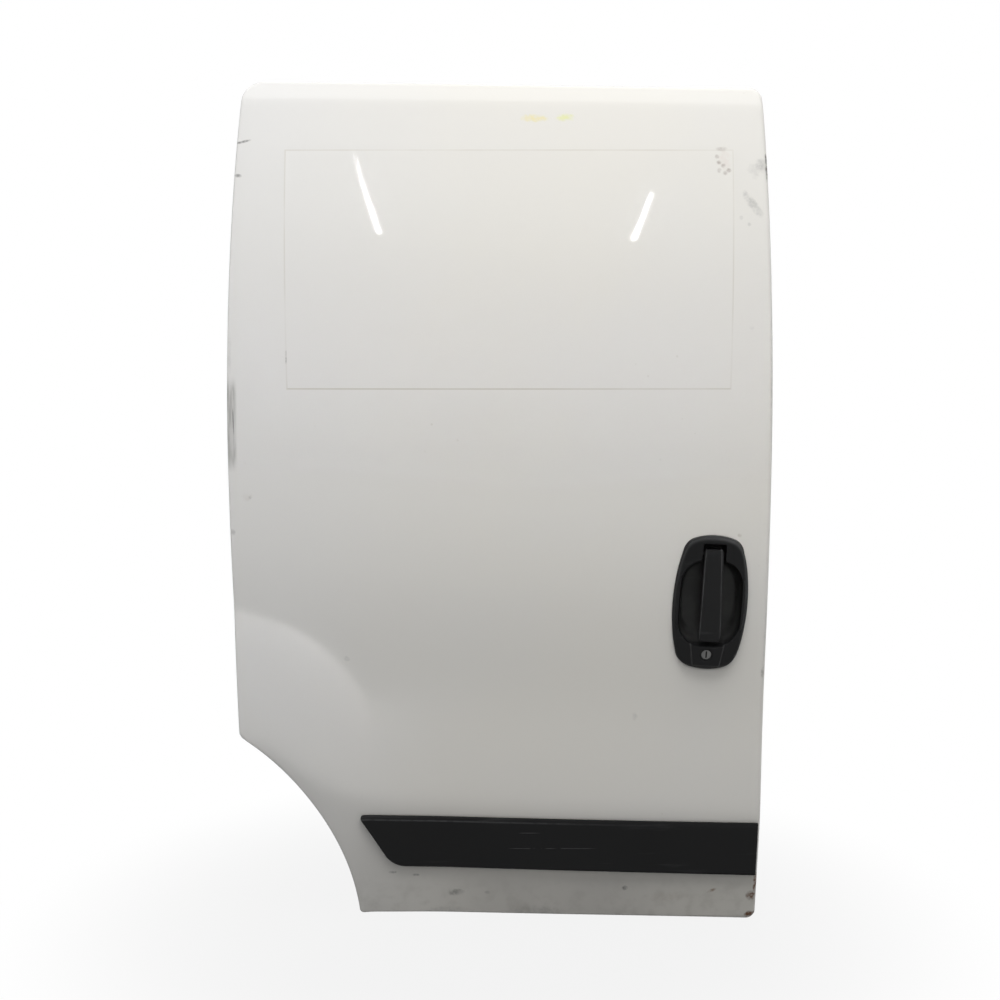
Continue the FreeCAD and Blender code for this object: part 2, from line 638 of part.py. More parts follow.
def latch_zone(z, width, height):
    """Y limits of a latch on a side wall, and its Z limits."""
    y = inner_y(z) - size("latch_in")
    return y - width / 2, y + width / 2, z - height / 2, z + height / 2


def latch_plate(side, z):
    """Face plate of a latch on a side wall, with a slot for the striker; side is +1 front, -1 rear."""
    y_low, y_high, z_low, z_high = latch_zone(z, size("latch_width"), size("latch_height"))
    x_low, x_high = (MIDDLE, FRONT + 50) if side > 0 else (REAR - 50, MIDDLE)
    zone = bar(x_low, x_high, y_low, y_high, z_low, z_high)
    slot = size("latch_slot") / 2
    zone = zone.cut(bar(x_low, x_high, (y_low + y_high) / 2 - slot, y_high + 5, z - slot, z + slot))
    return zone.common(wall_layer(SEAM, size("latch_plate")))


def latch_claw(side, z):
    """Fork of a latch behind its face plate: a flat jaw with a striker slot, carried by a post."""
    y_low, y_high, _, _ = latch_zone(z, size("latch_width") - 2 * size("claw_inset"), 0)
    y = (y_low + y_high) / 2
    wall = FRONT - size("overhang") if side > 0 else REAR + size("overhang")
    near = wall - side * size("claw_gap")
    far = near - side * size("claw_thickness")
    jaw = [(y_low, -8), (y_low + 4, -14), (y_high, -12), (y_high - 3, -4), (y, -4), (y, 4),
           (y_high - 3, 4), (y_high, 10), (y_low + 4, 14), (y_low, 8)]
    plan = Part.makePolygon([Vector(near, along, z + up) for along, up in jaw + jaw[:1]])
    fork = Part.Face(plan).extrude(Vector(far - near, 0, 0))
    post = bar(min(near, wall + side * 10), max(near, wall + side * 10), y_low + 1, y_low + 6, z - 5, z + 5)
    return fork.fuse(post.common(door_prism(size("overhang"))))


def wall_openings():
    """Openings of the side walls behind the two latches."""
    cuts = []
    for side, alias in ((1, "front_latch_drop"), (-1, "rear_latch_drop")):
        z = -size(alias)
        width = size("latch_width") - 2 * size("latch_side_lap")
        height = size("latch_height") - 2 * size("latch_end_lap")
        y_low, y_high, z_low, z_high = latch_zone(z, width, height)
        x = FRONT - size("overhang") if side > 0 else REAR + size("overhang")
        cuts.append(bar(x - 15, x + 15, y_low, y_high, z_low, z_high))
    return Part.makeCompound(cuts)


def seat_bolt_holes():
    """Clearance holes of the inner panel behind the centre guide seat."""
    holes = []
    for x in (-0.5, 0.5):
        for z in (-0.5, 0.5):
            start = Vector(x * size("seat_hole_gap_x"), -40, z * size("seat_hole_gap_z"))
            radius = size("seat_hole_radius") + size("bolt_hole_room")
            holes.append(rod(radius, start, start + Vector(0, 80, 0)))
    return Part.makeCompound(holes)


def flat_arm(points, z):
    """Flat plate drawn in plan, trimmed to the inside face of the inner panel."""
    plan = Part.makePolygon([Vector(x, y, z) for x, y in points + points[:1]])
    plate = Part.Face(plan).extrude(Vector(0, 0, size("arm_plate")))
    return plate.cut(behind_inner(SEAM))


def gusset(x, z_arm, y_end, z_foot):
    """Triangular web between the foot plate and the arm of a roller bracket."""
    half = size("arm_plate") / 2
    left = x - half
    deep = -60.0
    web = Part.makePolygon([
        Vector(left, deep, z_arm), Vector(left, y_end, z_arm), Vector(left, inner_y(z_foot) + half, z_foot),
        Vector(left, deep, z_foot), Vector(left, deep, z_arm),
    ])
    return Part.Face(web).extrude(Vector(2 * half, 0, 0)).cut(behind_inner(SEAM))


def upper_roller_arm():
    """Curved foot plate at the top front corner with a flat arm and the roller stud."""
    x = REAR + size("upper_arm_forward")
    z = size("upper_arm_height")
    half = size("upper_arm_width") / 2
    reach = size("upper_arm_reach")
    plate = size("arm_plate")
    low = z - size("upper_foot_low")
    foot = bar(x - half, x + half, -FAR / 2, FAR / 2, low, z + size("upper_foot_high"), size("foot_round"))
    foot = foot.common(inner_layer(SEAM, plate))
    end = size("upper_arm_end")
    arm = flat_arm([(x - half, 0), (x + half, 0), (x + end, reach + end), (x - end, reach + end)], z)
    stud_base = Vector(x, reach, z + plate / 2)
    stud_length = size("upper_roller_height") + plate / 2 + size("stud_end")
    stud = rod(size("stud_radius"), stud_base, stud_base + Vector(0, 0, stud_length))
    web = gusset(x, z + plate / 2, inner_y(z) + 46, low + plate)
    return foot.fuse(arm).fuse(stud).fuse(web)


def lower_roller_arm():
    """Foot plate at the bottom front corner, flat arm with a raised tab and two roller studs."""
    x = REAR + size("lower_arm_forward")
    z = -size("lower_arm_drop")
    half = size("lower_arm_width") / 2
    reach = size("lower_arm_reach")
    plate = size("arm_plate")
    tab = reach - size("load_tab_short")
    rear = x - half + 14
    low = z - size("lower_foot_low")
    foot = bar(x - half, x + half, -FAR / 2, FAR / 2, low, z + size("lower_foot_high"), size("foot_round"))
    foot = foot.common(inner_layer(SEAM, plate))
    arm = flat_arm([
        (x - half, 0), (x + half, 0), (x + half - 8, reach), (x + 24, reach), (x + 10, tab), (rear, tab),
    ], z)
    raised = bar(rear, x + 6, tab - plate, tab, z, z + size("load_tab_height"))
    load_z = z + size("load_roller_radius") + size("load_axle_rise")
    load = Vector(x - size("load_axle_back"), tab - plate / 2, load_z)
    guide = Vector(x + half - size("guide_axle_in"), reach - size("guide_axle_short"), z + plate / 2)
    beyond = plate / 2 + size("stud_end")
    load_stud = rod(size("stud_radius"), load, load + Vector(0, size("load_roller_width") + beyond, 0))
    guide_stud = rod(size("stud_radius"), guide, guide + Vector(0, 0, size("guide_roller_height") + beyond))
    web_top = z + size("load_tab_height")
    rear_web = gusset(x - half + 20, z + plate / 2, tab - 20, web_top)
    front_web = gusset(x + half - 20, z + plate / 2, tab - 20, web_top)
    return foot.fuse(arm).fuse(raised).fuse(load_stud).fuse(guide_stud).fuse(rear_web).fuse(front_web)


# Sub-parts made by solid modelling on the skin and inner panel surfaces
add_part("outer_skin", outer_skin())
add_part("inner_panel", inner_panel())
add_part("lower_strip", lower_strip())
add_part("handle_gasket", handle_gasket())
add_part("handle_escutcheon", handle_escutcheon())
add_part("handle_grip", handle_grip(), HANDLE)
add_part("grip_pivot_pin", grip_pivot_pin(), HANDLE)
add_part("lock_barrel", lock_barrel(), HANDLE)
add_part("trim_board", trim_board())
add_part("release_bezel", release_bezel())
add_part("release_lever", release_lever())
add_part("upper_brace", brace())
add_part("mastic_pads", mastic_pads())
add_part("front_latch_plate", latch_plate(1, -size("front_latch_drop")))
add_part("front_latch_claw", latch_claw(1, -size("front_latch_drop")))
add_part("rear_latch_plate", latch_plate(-1, -size("rear_latch_drop")))
add_part("rear_latch_claw", latch_claw(-1, -size("rear_latch_drop")))
add_part("upper_roller_arm", upper_roller_arm())
add_part("lower_roller_arm", lower_roller_arm())


# Sub-parts made of bound features

def bind(item, **cells):
    """Tie properties of an object to expressions over the sheet."""
    for name, expression in cells.items():
        item.setExpression(name.replace("__", "."), expression)


def ring_part(label, radius, length, base, turn):
    """Roller: a cylinder with a bore, both bound to the sheet."""
    body = doc.addObject("Part::Cylinder", label + "_body")
    bore = doc.addObject("Part::Cylinder", label + "_bore")
    for item in (body, bore):
        item.Placement = Placement(Vector(), turn)
        bind(item, Height=length, Placement__Base__x=base[0], Placement__Base__y=base[1],
             Placement__Base__z=base[2])
    bind(body, Radius=radius)
    bind(bore, Radius="Sizes.stud_radius + Sizes.seam_gap")
    roller = doc.addObject("Part::Cut", label)
    roller.Label = label
    roller.Base = body
    roller.Tool = bore
    return roller


UP = Rotation()
INWARD = Rotation(Vector(1, 0, 0), -90)
FORWARD = Rotation(Vector(0, 1, 0), 90)
ring_part("upper_guide_roller", "Sizes.upper_roller_radius", "Sizes.upper_roller_height", (
    "Sizes.upper_arm_forward - Sizes.seat_inset", "Sizes.upper_arm_reach",
    "Sizes.upper_arm_height + Sizes.arm_plate + Sizes.seam_gap"), UP)
ring_part("lower_guide_roller", "Sizes.guide_roller_radius", "Sizes.guide_roller_height", (
    "Sizes.lower_arm_forward - Sizes.seat_inset + Sizes.lower_arm_width / 2 - Sizes.guide_axle_in",
    "Sizes.lower_arm_reach - Sizes.guide_axle_short",
    "Sizes.arm_plate + Sizes.seam_gap - Sizes.lower_arm_drop"), UP)
ring_part("lower_load_roller", "Sizes.load_roller_radius", "Sizes.load_roller_width", (
    "Sizes.lower_arm_forward - Sizes.seat_inset - Sizes.load_axle_back",
    "Sizes.lower_arm_reach - Sizes.load_tab_short + Sizes.seam_gap",
    "Sizes.load_roller_radius + Sizes.load_axle_rise - Sizes.lower_arm_drop"), INWARD)

pin_x = "Sizes.door_width - Sizes.seat_inset - Sizes.overhang + Sizes.seam_gap"
shank = doc.addObject("Part::Cylinder", "pin_shank")
nose = doc.addObject("Part::Cylinder", "pin_nose")
for item in (shank, nose):
    item.Placement = Placement(Vector(), FORWARD)
    bind(item, Placement__Base__x=pin_x, Placement__Base__y="-Sizes.seat_plate - Sizes.latch_in",
         Placement__Base__z="Sizes.pin_height")
bind(shank, Radius="Sizes.pin_radius", Height="Sizes.pin_shoulder")
bind(nose, Radius="Sizes.pin_nose_radius", Height="Sizes.pin_length")
pin = doc.addObject("Part::Fuse", "front_locating_pin")
pin.Label = "front_locating_pin"
pin.Base = shank
pin.Tool = nose


def new_body(label):
    """An empty body under its own label."""
    body = doc.addObject("PartDesign::Body", label)
    body.Label = label
    return body


def sketch_on(body, role, name):
    """Sketch on one of the body's own origin planes."""
    sketch = body.newObject("Sketcher::SketchObject", name)
    plane = [f for f in body.Origin.OriginFeatures if f.Role == role][0]
    sketch.AttachmentSupport = [(plane, "")]
    sketch.MapMode = "FlatFace"
    return sketch


def closed_outline(sketch, corners):
    """Closed run of lines whose corners are tied to expressions over the sheet."""
    points = []
    for across, along in corners:
        points.append(Vector(float(sheet.evalExpression(across)), float(sheet.evalExpression(along)), 0))
    for start, end in zip(points, points[1:] + points[:1]):
        sketch.addGeometry(Part.LineSegment(start, end))
    count = len(points)
    for k in range(count):
        sketch.addConstraint(Sketcher.Constraint("Coincident", k, 2, (k + 1) % count, 1))
    for k, (across, along) in enumerate(corners):
        ties = (("DistanceX", across, points[k].x), ("DistanceY", along, points[k].y))
        for kind, expression, value in ties:
            index = sketch.addConstraint(Sketcher.Constraint(kind, -1, 1, k, 1, value))
            sketch.setExpression(f"Constraints[{index}]", expression)


# Centre guide seat: plate with four bolt holes
seat = new_body("centre_guide_seat")
seat_sketch = sketch_on(seat, "XZ_Plane", "seat_outline")
closed_outline(seat_sketch, [
    ("-Sizes.seat_width / 2", "-Sizes.seat_height / 2"), ("Sizes.seat_width / 2", "-Sizes.seat_height / 2"),
    ("Sizes.seat_width / 2", "Sizes.seat_height / 2"), ("-Sizes.seat_width / 2", "Sizes.seat_height / 2"),
])
seat_pad = seat.newObject("PartDesign::Pad", "seat_pad")
seat_pad.Profile = seat_sketch
bind(seat_pad, Length="Sizes.seat_plate - Sizes.seam_gap")
seat_holes = sketch_on(seat, "XZ_Plane", "seat_bolts")
for sign_x in (-1, 1):
    for sign_z in (-1, 1):
        centre = Vector(sign_x * size("seat_hole_gap_x") / 2, sign_z * size("seat_hole_gap_z") / 2, 0)
        hole = seat_holes.addGeometry(Part.Circle(centre, Vector(0, 0, 1), size("seat_hole_radius")))
        limits = (
            ("DistanceX", centre.x, f"{sign_x} * Sizes.seat_hole_gap_x / 2"),
            ("DistanceY", centre.y, f"{sign_z} * Sizes.seat_hole_gap_z / 2"),
        )
        for kind, value, expression in limits:
            index = seat_holes.addConstraint(Sketcher.Constraint(kind, -1, 1, hole, 3, value))
            seat_holes.setExpression(f"Constraints[{index}]", expression)
        index = seat_holes.addConstraint(Sketcher.Constraint("Radius", hole, size("seat_hole_radius")))
        seat_holes.setExpression(f"Constraints[{index}]", "Sizes.seat_hole_radius")
doc.recompute()
seat_pocket = seat.newObject("PartDesign::Pocket", "seat_pocket")
seat_pocket.Profile = seat_holes
seat_pocket.Type = "ThroughAll"
seat_pocket.Reversed = True
doc.recompute()

# Waist rail: hat section behind the inner panel, along the door
rail = new_body("waist_rail")
rail_sketch = sketch_on(rail, "YZ_Plane", "rail_section")
FACE = "(-Sizes.seat_plate - Sizes.sheet_gauge - Sizes.seam_gap)"
CROWN = f"({FACE} - Sizes.waist_deep)"
closed_outline(rail_sketch, [
    (FACE, "Sizes.waist_low"), (FACE, "Sizes.waist_low + Sizes.waist_flange"),
    (f"{CROWN} + Sizes.sheet_gauge", "Sizes.waist_low + Sizes.waist_flange"),
    (f"{CROWN} + Sizes.sheet_gauge", "Sizes.waist_high - Sizes.waist_flange"),
    (FACE, "Sizes.waist_high - Sizes.waist_flange"), (FACE, "Sizes.waist_high"),
    (f"{FACE} - Sizes.sheet_gauge", "Sizes.waist_high"),
    (f"{FACE} - Sizes.sheet_gauge", "Sizes.waist_high - Sizes.waist_flange + Sizes.sheet_gauge"),
    (CROWN, "Sizes.waist_high - Sizes.waist_flange + Sizes.sheet_gauge"),
    (CROWN, "Sizes.waist_low + Sizes.waist_flange - Sizes.sheet_gauge"),
    (f"{FACE} - Sizes.sheet_gauge", "Sizes.waist_low + Sizes.waist_flange - Sizes.sheet_gauge"),
    (f"{FACE} - Sizes.sheet_gauge", "Sizes.waist_low"),
])
rail_pad = rail.newObject("PartDesign::Pad", "rail_pad")
rail_pad.Profile = rail_sketch
RAIL_END = "(Sizes.overhang + Sizes.sheet_gauge + Sizes.waist_end_gap)"
bind(rail_pad, Length=f"Sizes.door_width - 2 * {RAIL_END}")
bind(rail, Placement__Base__x=f"{RAIL_END} - Sizes.seat_inset")


def rear_buffer():
    """Rubber buffer on the rear side wall."""
    z = -size("buffer_drop")
    behind_wall = 12.0
    start = Vector(REAR + size("overhang") + behind_wall, inner_y(z) - size("latch_in"), z)
    end = start - Vector(size("buffer_length") + behind_wall, 0, 0)
    return rod(size("buffer_radius"), start, end).cut(door_prism(size("overhang") - SEAM))


add_part("rear_buffer", rear_buffer())
doc.recompute()

# Check every sub-part and write it out
NODES = [
    "outer_skin", "inner_panel", "waist_rail", "upper_brace", "mastic_pads", "lower_strip", "handle_gasket",
    "handle_escutcheon", "handle_grip", "grip_pivot_pin", "lock_barrel", "trim_board", "release_bezel",
    "release_lever", "front_latch_plate", "front_latch_claw", "rear_latch_plate", "rear_latch_claw",
    "upper_roller_arm", "upper_guide_roller", "lower_roller_arm", "lower_guide_roller", "lower_load_roller",
    "centre_guide_seat", "front_locating_pin", "rear_buffer",
]
os.makedirs("parts", exist_ok=True)
for item in doc.Objects:
    if "Invalid" in item.State or "Error" in item.State:
        raise RuntimeError(f"{item.Label} did not compute: {item.State}")
for node in NODES:
    item = doc.getObjectsByLabel(node)[0]
    shape = item.Shape
    if shape.isNull() or not shape.isValid():
        raise RuntimeError(f"{node} has no valid shape")
    shape.exportStep(f"parts/{node}.step")
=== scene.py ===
# %% [markdown]
# A worn sliding side door of a small panel van. It is a big, gently bulged sheet of white painted steel
# with a black pull handle, a black rubbing strip and, behind, a pressed inner panel with latches and
# roller arms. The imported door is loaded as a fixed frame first, and every new piece is worked out in that
# same frame.
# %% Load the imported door
import bpy
import json
import numpy as np
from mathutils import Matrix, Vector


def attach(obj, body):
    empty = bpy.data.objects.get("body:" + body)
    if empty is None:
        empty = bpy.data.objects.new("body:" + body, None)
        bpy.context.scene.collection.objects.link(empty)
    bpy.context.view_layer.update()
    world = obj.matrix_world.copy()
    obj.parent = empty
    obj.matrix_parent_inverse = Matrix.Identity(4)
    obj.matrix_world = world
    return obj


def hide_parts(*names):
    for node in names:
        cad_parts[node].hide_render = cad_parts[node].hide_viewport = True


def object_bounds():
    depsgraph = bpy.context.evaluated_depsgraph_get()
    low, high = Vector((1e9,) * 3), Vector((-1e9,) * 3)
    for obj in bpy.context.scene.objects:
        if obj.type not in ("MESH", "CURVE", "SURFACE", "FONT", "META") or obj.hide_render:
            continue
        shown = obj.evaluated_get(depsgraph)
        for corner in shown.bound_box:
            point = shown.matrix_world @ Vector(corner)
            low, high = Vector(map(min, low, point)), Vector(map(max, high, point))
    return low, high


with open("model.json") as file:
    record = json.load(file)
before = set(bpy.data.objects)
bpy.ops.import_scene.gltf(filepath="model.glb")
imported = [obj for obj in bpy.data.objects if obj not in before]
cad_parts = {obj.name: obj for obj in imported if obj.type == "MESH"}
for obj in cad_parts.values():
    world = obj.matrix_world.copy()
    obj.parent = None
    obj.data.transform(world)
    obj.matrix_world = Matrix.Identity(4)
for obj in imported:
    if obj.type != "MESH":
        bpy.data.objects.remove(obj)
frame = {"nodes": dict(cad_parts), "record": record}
cad_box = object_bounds()
print("door loaded:", len(frame["nodes"]), "nodes")
print("box:", [np.round(corner, 3).tolist() for corner in cad_box])

# %% [markdown]
# The photograph was taken square to the door from about two and a half metres, a little above its middle,
# looking slightly down. A long lens keeps the edges nearly straight. The camera comes first.
# %% Camera
CAMERA_PLACE = (0.309, -2.426, 0.2275)
CAMERA_TILT = 82.0
SENSOR_WIDTH = 36.0
FOCAL_LENGTH = 61.1

lens = bpy.data.cameras.new("camera")
lens.sensor_width = SENSOR_WIDTH
lens.lens = FOCAL_LENGTH
camera = bpy.data.objects.new("camera", lens)
camera.location = CAMERA_PLACE
camera.rotation_euler = (np.radians(CAMERA_TILT), 0.0, 0.0)
bpy.context.scene.collection.objects.link(camera)
bpy.context.scene.camera = camera
bpy.context.scene.view_settings.view_transform = "Standard"
print("camera at", tuple(camera.location))

# %% [markdown]
# Shader maths reads best as plain formulas. One small class wraps a socket, so that a * b + 1 adds the
# Math nodes by itself.
# %% Formula sockets
def join(tree, place, value):
    """Link a field into a socket, or write a plain value there."""
    if isinstance(value, Field):
        tree.links.new(value.socket, place)
    else:
        place.default_value = value


def formula(tree, operation, *values):
    """A Math node fed by fields and numbers, in their order."""
    node = tree.nodes.new("ShaderNodeMath")
    node.operation = operation
    for place, value in zip(node.inputs, values):
        join(tree, place, value)
    return Field(tree, node.outputs[0])


class Field:
    """A value that changes over a surface, usable in formulas."""

    def __init__(self, tree, socket):
        self.tree, self.socket = tree, socket

    def __add__(self, other):
        return formula(self.tree, "ADD", self, other)

    def __sub__(self, other):
        return formula(self.tree, "SUBTRACT", self, other)

    def __rsub__(self, other):
        return formula(self.tree, "SUBTRACT", other, self)

    def __mul__(self, other):
        return formula(self.tree, "MULTIPLY", self, other)

    def __truediv__(self, other):
        return formula(self.tree, "DIVIDE", self, other)

    def __rtruediv__(self, other):
        return formula(self.tree, "DIVIDE", other, self)

    def __pow__(self, other):
        return formula(self.tree, "POWER", self, other)

    def __neg__(self):
        return formula(self.tree, "MULTIPLY", self, -1.0)

    def __abs__(self):
        return formula(self.tree, "ABSOLUTE", self)

    __radd__ = __add__
    __rmul__ = __mul__

    def most(self, other):
        return formula(self.tree, "MAXIMUM", self, other)

    def rise(self, start, end):
        """Smooth step: 0 at start, 1 at end."""
        node = self.tree.nodes.new("ShaderNodeMapRange")
        node.interpolation_type = "SMOOTHSTEP"
        join(self.tree, node.inputs["Value"], self)
        node.inputs["From Min"].default_value = start
        node.inputs["From Max"].default_value = end
        return Field(self.tree, node.outputs[0])


print("formula sockets ready")

# %% [markdown]
# A finish is one material. Its class keeps the place on the surface in metres as three fields, and one
# method makes any node from its type, its settings and its sockets, so that patterns stay one line each.
# %% Finishes
class Finish:
    """A material for one finish of the door."""

    def __init__(self, name, **plain):
        self.material = bpy.data.materials.new(name)
        self.material.use_nodes = True
        self.tree = self.material.node_tree
        self.shader = self.tree.nodes["Principled BSDF"]
        for word, value in plain.items():
            self.shader.inputs[word.replace("_", " ")].default_value = value
        self.place = self.node("ShaderNodeTexCoord", out="Object")
        split = self.node("ShaderNodeSeparateXYZ", sockets={0: self.place})
        outputs = split.socket.node.outputs
        self.x, self.y, self.z = (Field(self.tree, outputs[k]) for k in range(3))

    def node(self, kind, settings=None, sockets=None, out=0):
        """Any node: its type, its settings, then the values or links of its sockets."""
        node = self.tree.nodes.new(kind)
        for word, value in (settings or {}).items():
            setattr(node, word, value)
        for word, value in (sockets or {}).items():
            join(self.tree, node.inputs[word], value)
        return Field(self.tree, node.outputs[out])

    def noise(self, scale, detail=4.0, stretch=(1.0, 1.0, 1.0)):
        """Cloudy pattern between 0 and 1, in object coordinates."""
        laid = self.node("ShaderNodeMapping", sockets={"Vector": self.place, "Scale": stretch})
        return self.node("ShaderNodeTexNoise", sockets={"Vector": laid, "Scale": scale, "Detail": detail})

    def cells(self, scale):
        """Distance to scattered points."""
        return self.node("ShaderNodeTexVoronoi", sockets={"Vector": self.place, "Scale": scale})

    def mixed(self, share, first, second):
        """One colour turning into another by a share from 0 to 1."""
        if not isinstance(first, Field):
            first = (*first, 1.0)
        if not isinstance(second, Field):
            second = (*second, 1.0)
        return self.node("ShaderNodeMix", {"data_type": "RGBA"}, {0: share, 6: first, 7: second}, out=2)

    def bump(self, height, strength, distance):
        """Small relief on the surface."""
        normal = self.node("ShaderNodeBump", sockets={
            "Height": height, "Strength": strength, "Distance": distance})
        join(self.tree, self.shader.inputs["Normal"], normal)

    def use(self, **fields):
        """Feed varying values into the shader."""
        for word, value in fields.items():
            join(self.tree, self.shader.inputs[word.replace("_", " ")], value)
        print("finish", self.material.name, "with", len(self.tree.nodes), "nodes")
        return self.material


print("finishes ready")

# %% [markdown]
# The light: two ceiling tubes give the two slanted streaks on the upper panel, and a wide soft box hangs
# over the camera, because the real panel is brightest where it leans back towards the ceiling. A low,
# narrow fill lamp keeps the upright middle of the panel from going dull, another soft box lights the back,
# and a ceiling panel, seen in reflections only, brightens the lip at the top.
# %% Lamps
DOOR_X = 0.31
TUBE_WIDTH = 0.010
TUBE_HEIGHT = 1.8
FILL_SPREAD = 26.0


def area_lamp(name, place, turn, width, length, watts):
    """Rectangular lamp of a given size."""
    data = bpy.data.lights.new(name, "AREA")
    data.shape = "RECTANGLE"
    data.size, data.size_y, data.energy = width, length, watts
    lamp = bpy.data.objects.new(name, data)
    lamp.location = place
    lamp.rotation_euler = np.radians(turn)
    bpy.context.scene.collection.objects.link(lamp)
    return lamp


soft_box = area_lamp("soft_box", (0.55, -1.40, 2.45), (30, 0, 8), 2.4, 1.6, 50.0)
back_box = area_lamp("back_box", (DOOR_X, 2.20, 2.00), (-45, 0, 0), 2.0, 1.4, 45.0)
front_fill = area_lamp("front_fill", (DOOR_X, -2.30, 0.75), (69, 0, 0), 1.7, 0.12, 0.58)
front_fill.data.spread = np.radians(FILL_SPREAD)
for lamp in (soft_box, front_fill, back_box):
    lamp.visible_glossy = False
ceiling = area_lamp("ceiling_panel", (DOOR_X, 0.75, 2.40), (0, 0, 0), 2.6, 1.5, 8.5)
ceiling.visible_diffuse = False
area_lamp("tube_rear", (-0.080, -1.258, TUBE_HEIGHT), (0, 0, 0), TUBE_WIDTH, 0.92, 1.9)
area_lamp("tube_front", (0.749, -1.508, TUBE_HEIGHT), (0, 0, 0), TUBE_WIDTH, 0.64, 1.3)
print("lamps:", len(bpy.data.lights))

# %% [markdown]
# The room is a pale floor under the door and a white backdrop. The white is only what the camera and the
# reflections see, so it puts no extra light on the paint: for other rays the sky is dim and the floor
# grey.
# %% Room
FLOOR = float(cad_box[0][2]) - 0.0005
FLOOR_HALF = 6.0


def background_share(tree):
    """1 for rays that look at the background: camera, glossy and transmission rays."""
    path = tree.nodes.new("ShaderNodeLightPath")
    seen = Field(tree, path.outputs["Is Camera Ray"])
    glossy = Field(tree, path.outputs["Is Glossy Ray"])
    through = Field(tree, path.outputs["Is Transmission Ray"])
    return seen.most(glossy).most(through)


world = bpy.data.worlds.new("room")
bpy.context.scene.world = world
world.use_nodes = True
sky = world.node_tree
sky_shader = sky.nodes["Background"]
around = sky.nodes.new("ShaderNodeTexCoord")
axes = sky.nodes.new("ShaderNodeSeparateXYZ")
sky.links.new(around.outputs["Generated"], axes.inputs[0])
up = Field(sky, axes.outputs[2])
share = background_share(sky)
level = up.rise(-0.12, 0.6) * 0.46 + 0.05
join(sky, sky_shader.inputs["Strength"], share + (1.0 - share) * level)
sky_shader.inputs["Color"].default_value = (1.0, 1.0, 1.0, 1.0)

floor_mesh = bpy.data.meshes.new("floor")
floor_corners = [(x * FLOOR_HALF, y * FLOOR_HALF, FLOOR) for x, y in ((-1, -1), (1, -1), (1, 1), (-1, 1))]
floor_mesh.from_pydata(floor_corners, [], [(0, 1, 2, 3)])
floor = bpy.data.objects.new("floor", floor_mesh)
bpy.context.scene.collection.objects.link(floor)

paper = Finish("floor_paper", Base_Color=(0.12, 0.12, 0.12, 1.0), Roughness=0.9)
from_door = (paper.x - DOOR_X) ** 2.0 + paper.y ** 2.0
glow = from_door.rise(0.05, 0.6) * 0.12 + 0.88
paper_grey = Field(paper.tree, paper.shader.outputs[0])
paper_white = paper.node("ShaderNodeEmission")
shown = paper.node("ShaderNodeMixShader", sockets={
    0: background_share(paper.tree) * glow, 1: paper_grey, 2: paper_white})
join(paper.tree, paper.tree.nodes["Material Output"].inputs["Surface"], shown)
floor.data.materials.append(paper.material)
print("floor at", round(FLOOR, 4))

# %% [markdown]
# Every new piece is a surface on a grid, worked out in millimetres as whole arrays. These helpers number
# the grid points, join them with quads and write the mesh in metres, with its place in the mesh itself.
# %% Grid helpers
MM = 0.001


def grid_quads(index, keep=None):
    """Quads of a numbered grid; the first direction times the second points to the outside."""
    quads = np.stack([index[:-1, :-1], index[1:, :-1], index[1:, 1:], index[:-1, 1:]], axis=-1)
    return quads.reshape(-1, 4) if keep is None else quads[keep]


def border(index):
    """Numbers along the border of a grid, once round: low side, far side, high side, near side."""
    return np.concatenate([index[:-1, 0], index[-1, :-1], index[:0:-1, -1], index[0, :0:-1]])


def loop_quads(loops):
    """Quads between closed loops of equal length, given as rows of numbers."""
    after = np.roll(loops, -1, axis=1)
    quads = np.stack([loops[:-1], loops[1:], after[1:], after[:-1]], axis=-1)
    return quads.reshape(-1, 4)


def put_piece(name, points, faces, body, node=None, rim_highlight=None):
    """A smooth mesh object from points in millimetres, riding on a body and standing for a CAD node.

    The painted highlight values, one for each point, are kept on the mesh for the finish to read.
    """
    mesh = bpy.data.meshes.new(name)
    listed = [face for group in faces for face in np.asarray(group).tolist()]
    mesh.from_pydata((np.asarray(points) * MM).tolist(), [], listed)
    mesh.polygons.foreach_set("use_smooth", np.ones(len(mesh.polygons), dtype=bool))
    if rim_highlight is not None:
        kept = mesh.attributes.new("rim_highlight", "FLOAT", "POINT")
        kept.data.foreach_set("value", np.asarray(rim_highlight, dtype=float))
    mesh.validate()
    piece = bpy.data.objects.new(name, mesh)
    bpy.context.scene.collection.objects.link(piece)
    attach(piece, body)
    if node:
        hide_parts(node)
    print(name, len(mesh.vertices), "points,", len(mesh.polygons), "faces")
    return piece


print("grid helpers ready")

# %% [markdown]
# The outer skin is one pressing: a roof arc above the waist, a flatter arc below it, a flare over the
# wheel arch, a tuck along the sill and a small lip at the top. Sculpting it by hand would leave waves that
# a glossy paint shows at once, so its depth is one formula of place. It follows the formula of the solid
# model, with a shallow shoulder added under the line of the flare and a lip that starts six millimetres
# higher.
# %% Depth of the skin
REAR, FRONT = -75.0, 693.0
MIDDLE, WIDTH = (REAR + FRONT) / 2, FRONT - REAR
WAIST = -63.0
ROOF_ARC, LOWER_ARC, LOWER_ARC_DROP = 950.0, 1800.0, 230.0
FLARE_RADIUS, FLARE_CENTRE_BACK, FLARE_CENTRE = 230.0, 21.0, -497.5
FLARE_LINE, FLARE_FALL, FLARE_BLEND = -413.0, 0.045, 10.0
FLARE_SLOPE, FLARE_SLOPE_LOSS, FLARE_BEND = 0.15, 0.03, 4.0
EASE_START, EASE_LENGTH = 104.0, 220.0
SHOULDER, SHOULDER_BEND, SHOULDER_RUN = 3.0, 3.0, 25.0
SILL_LINE, SILL_FALL, SILL_SLOPE, SILL_BEND = -566.5, 0.046, 0.20, 7.0
SILL_RISE, SILL_RISE_FORWARD, SILL_RISE_LENGTH = 92.0, 14.0, 103.0
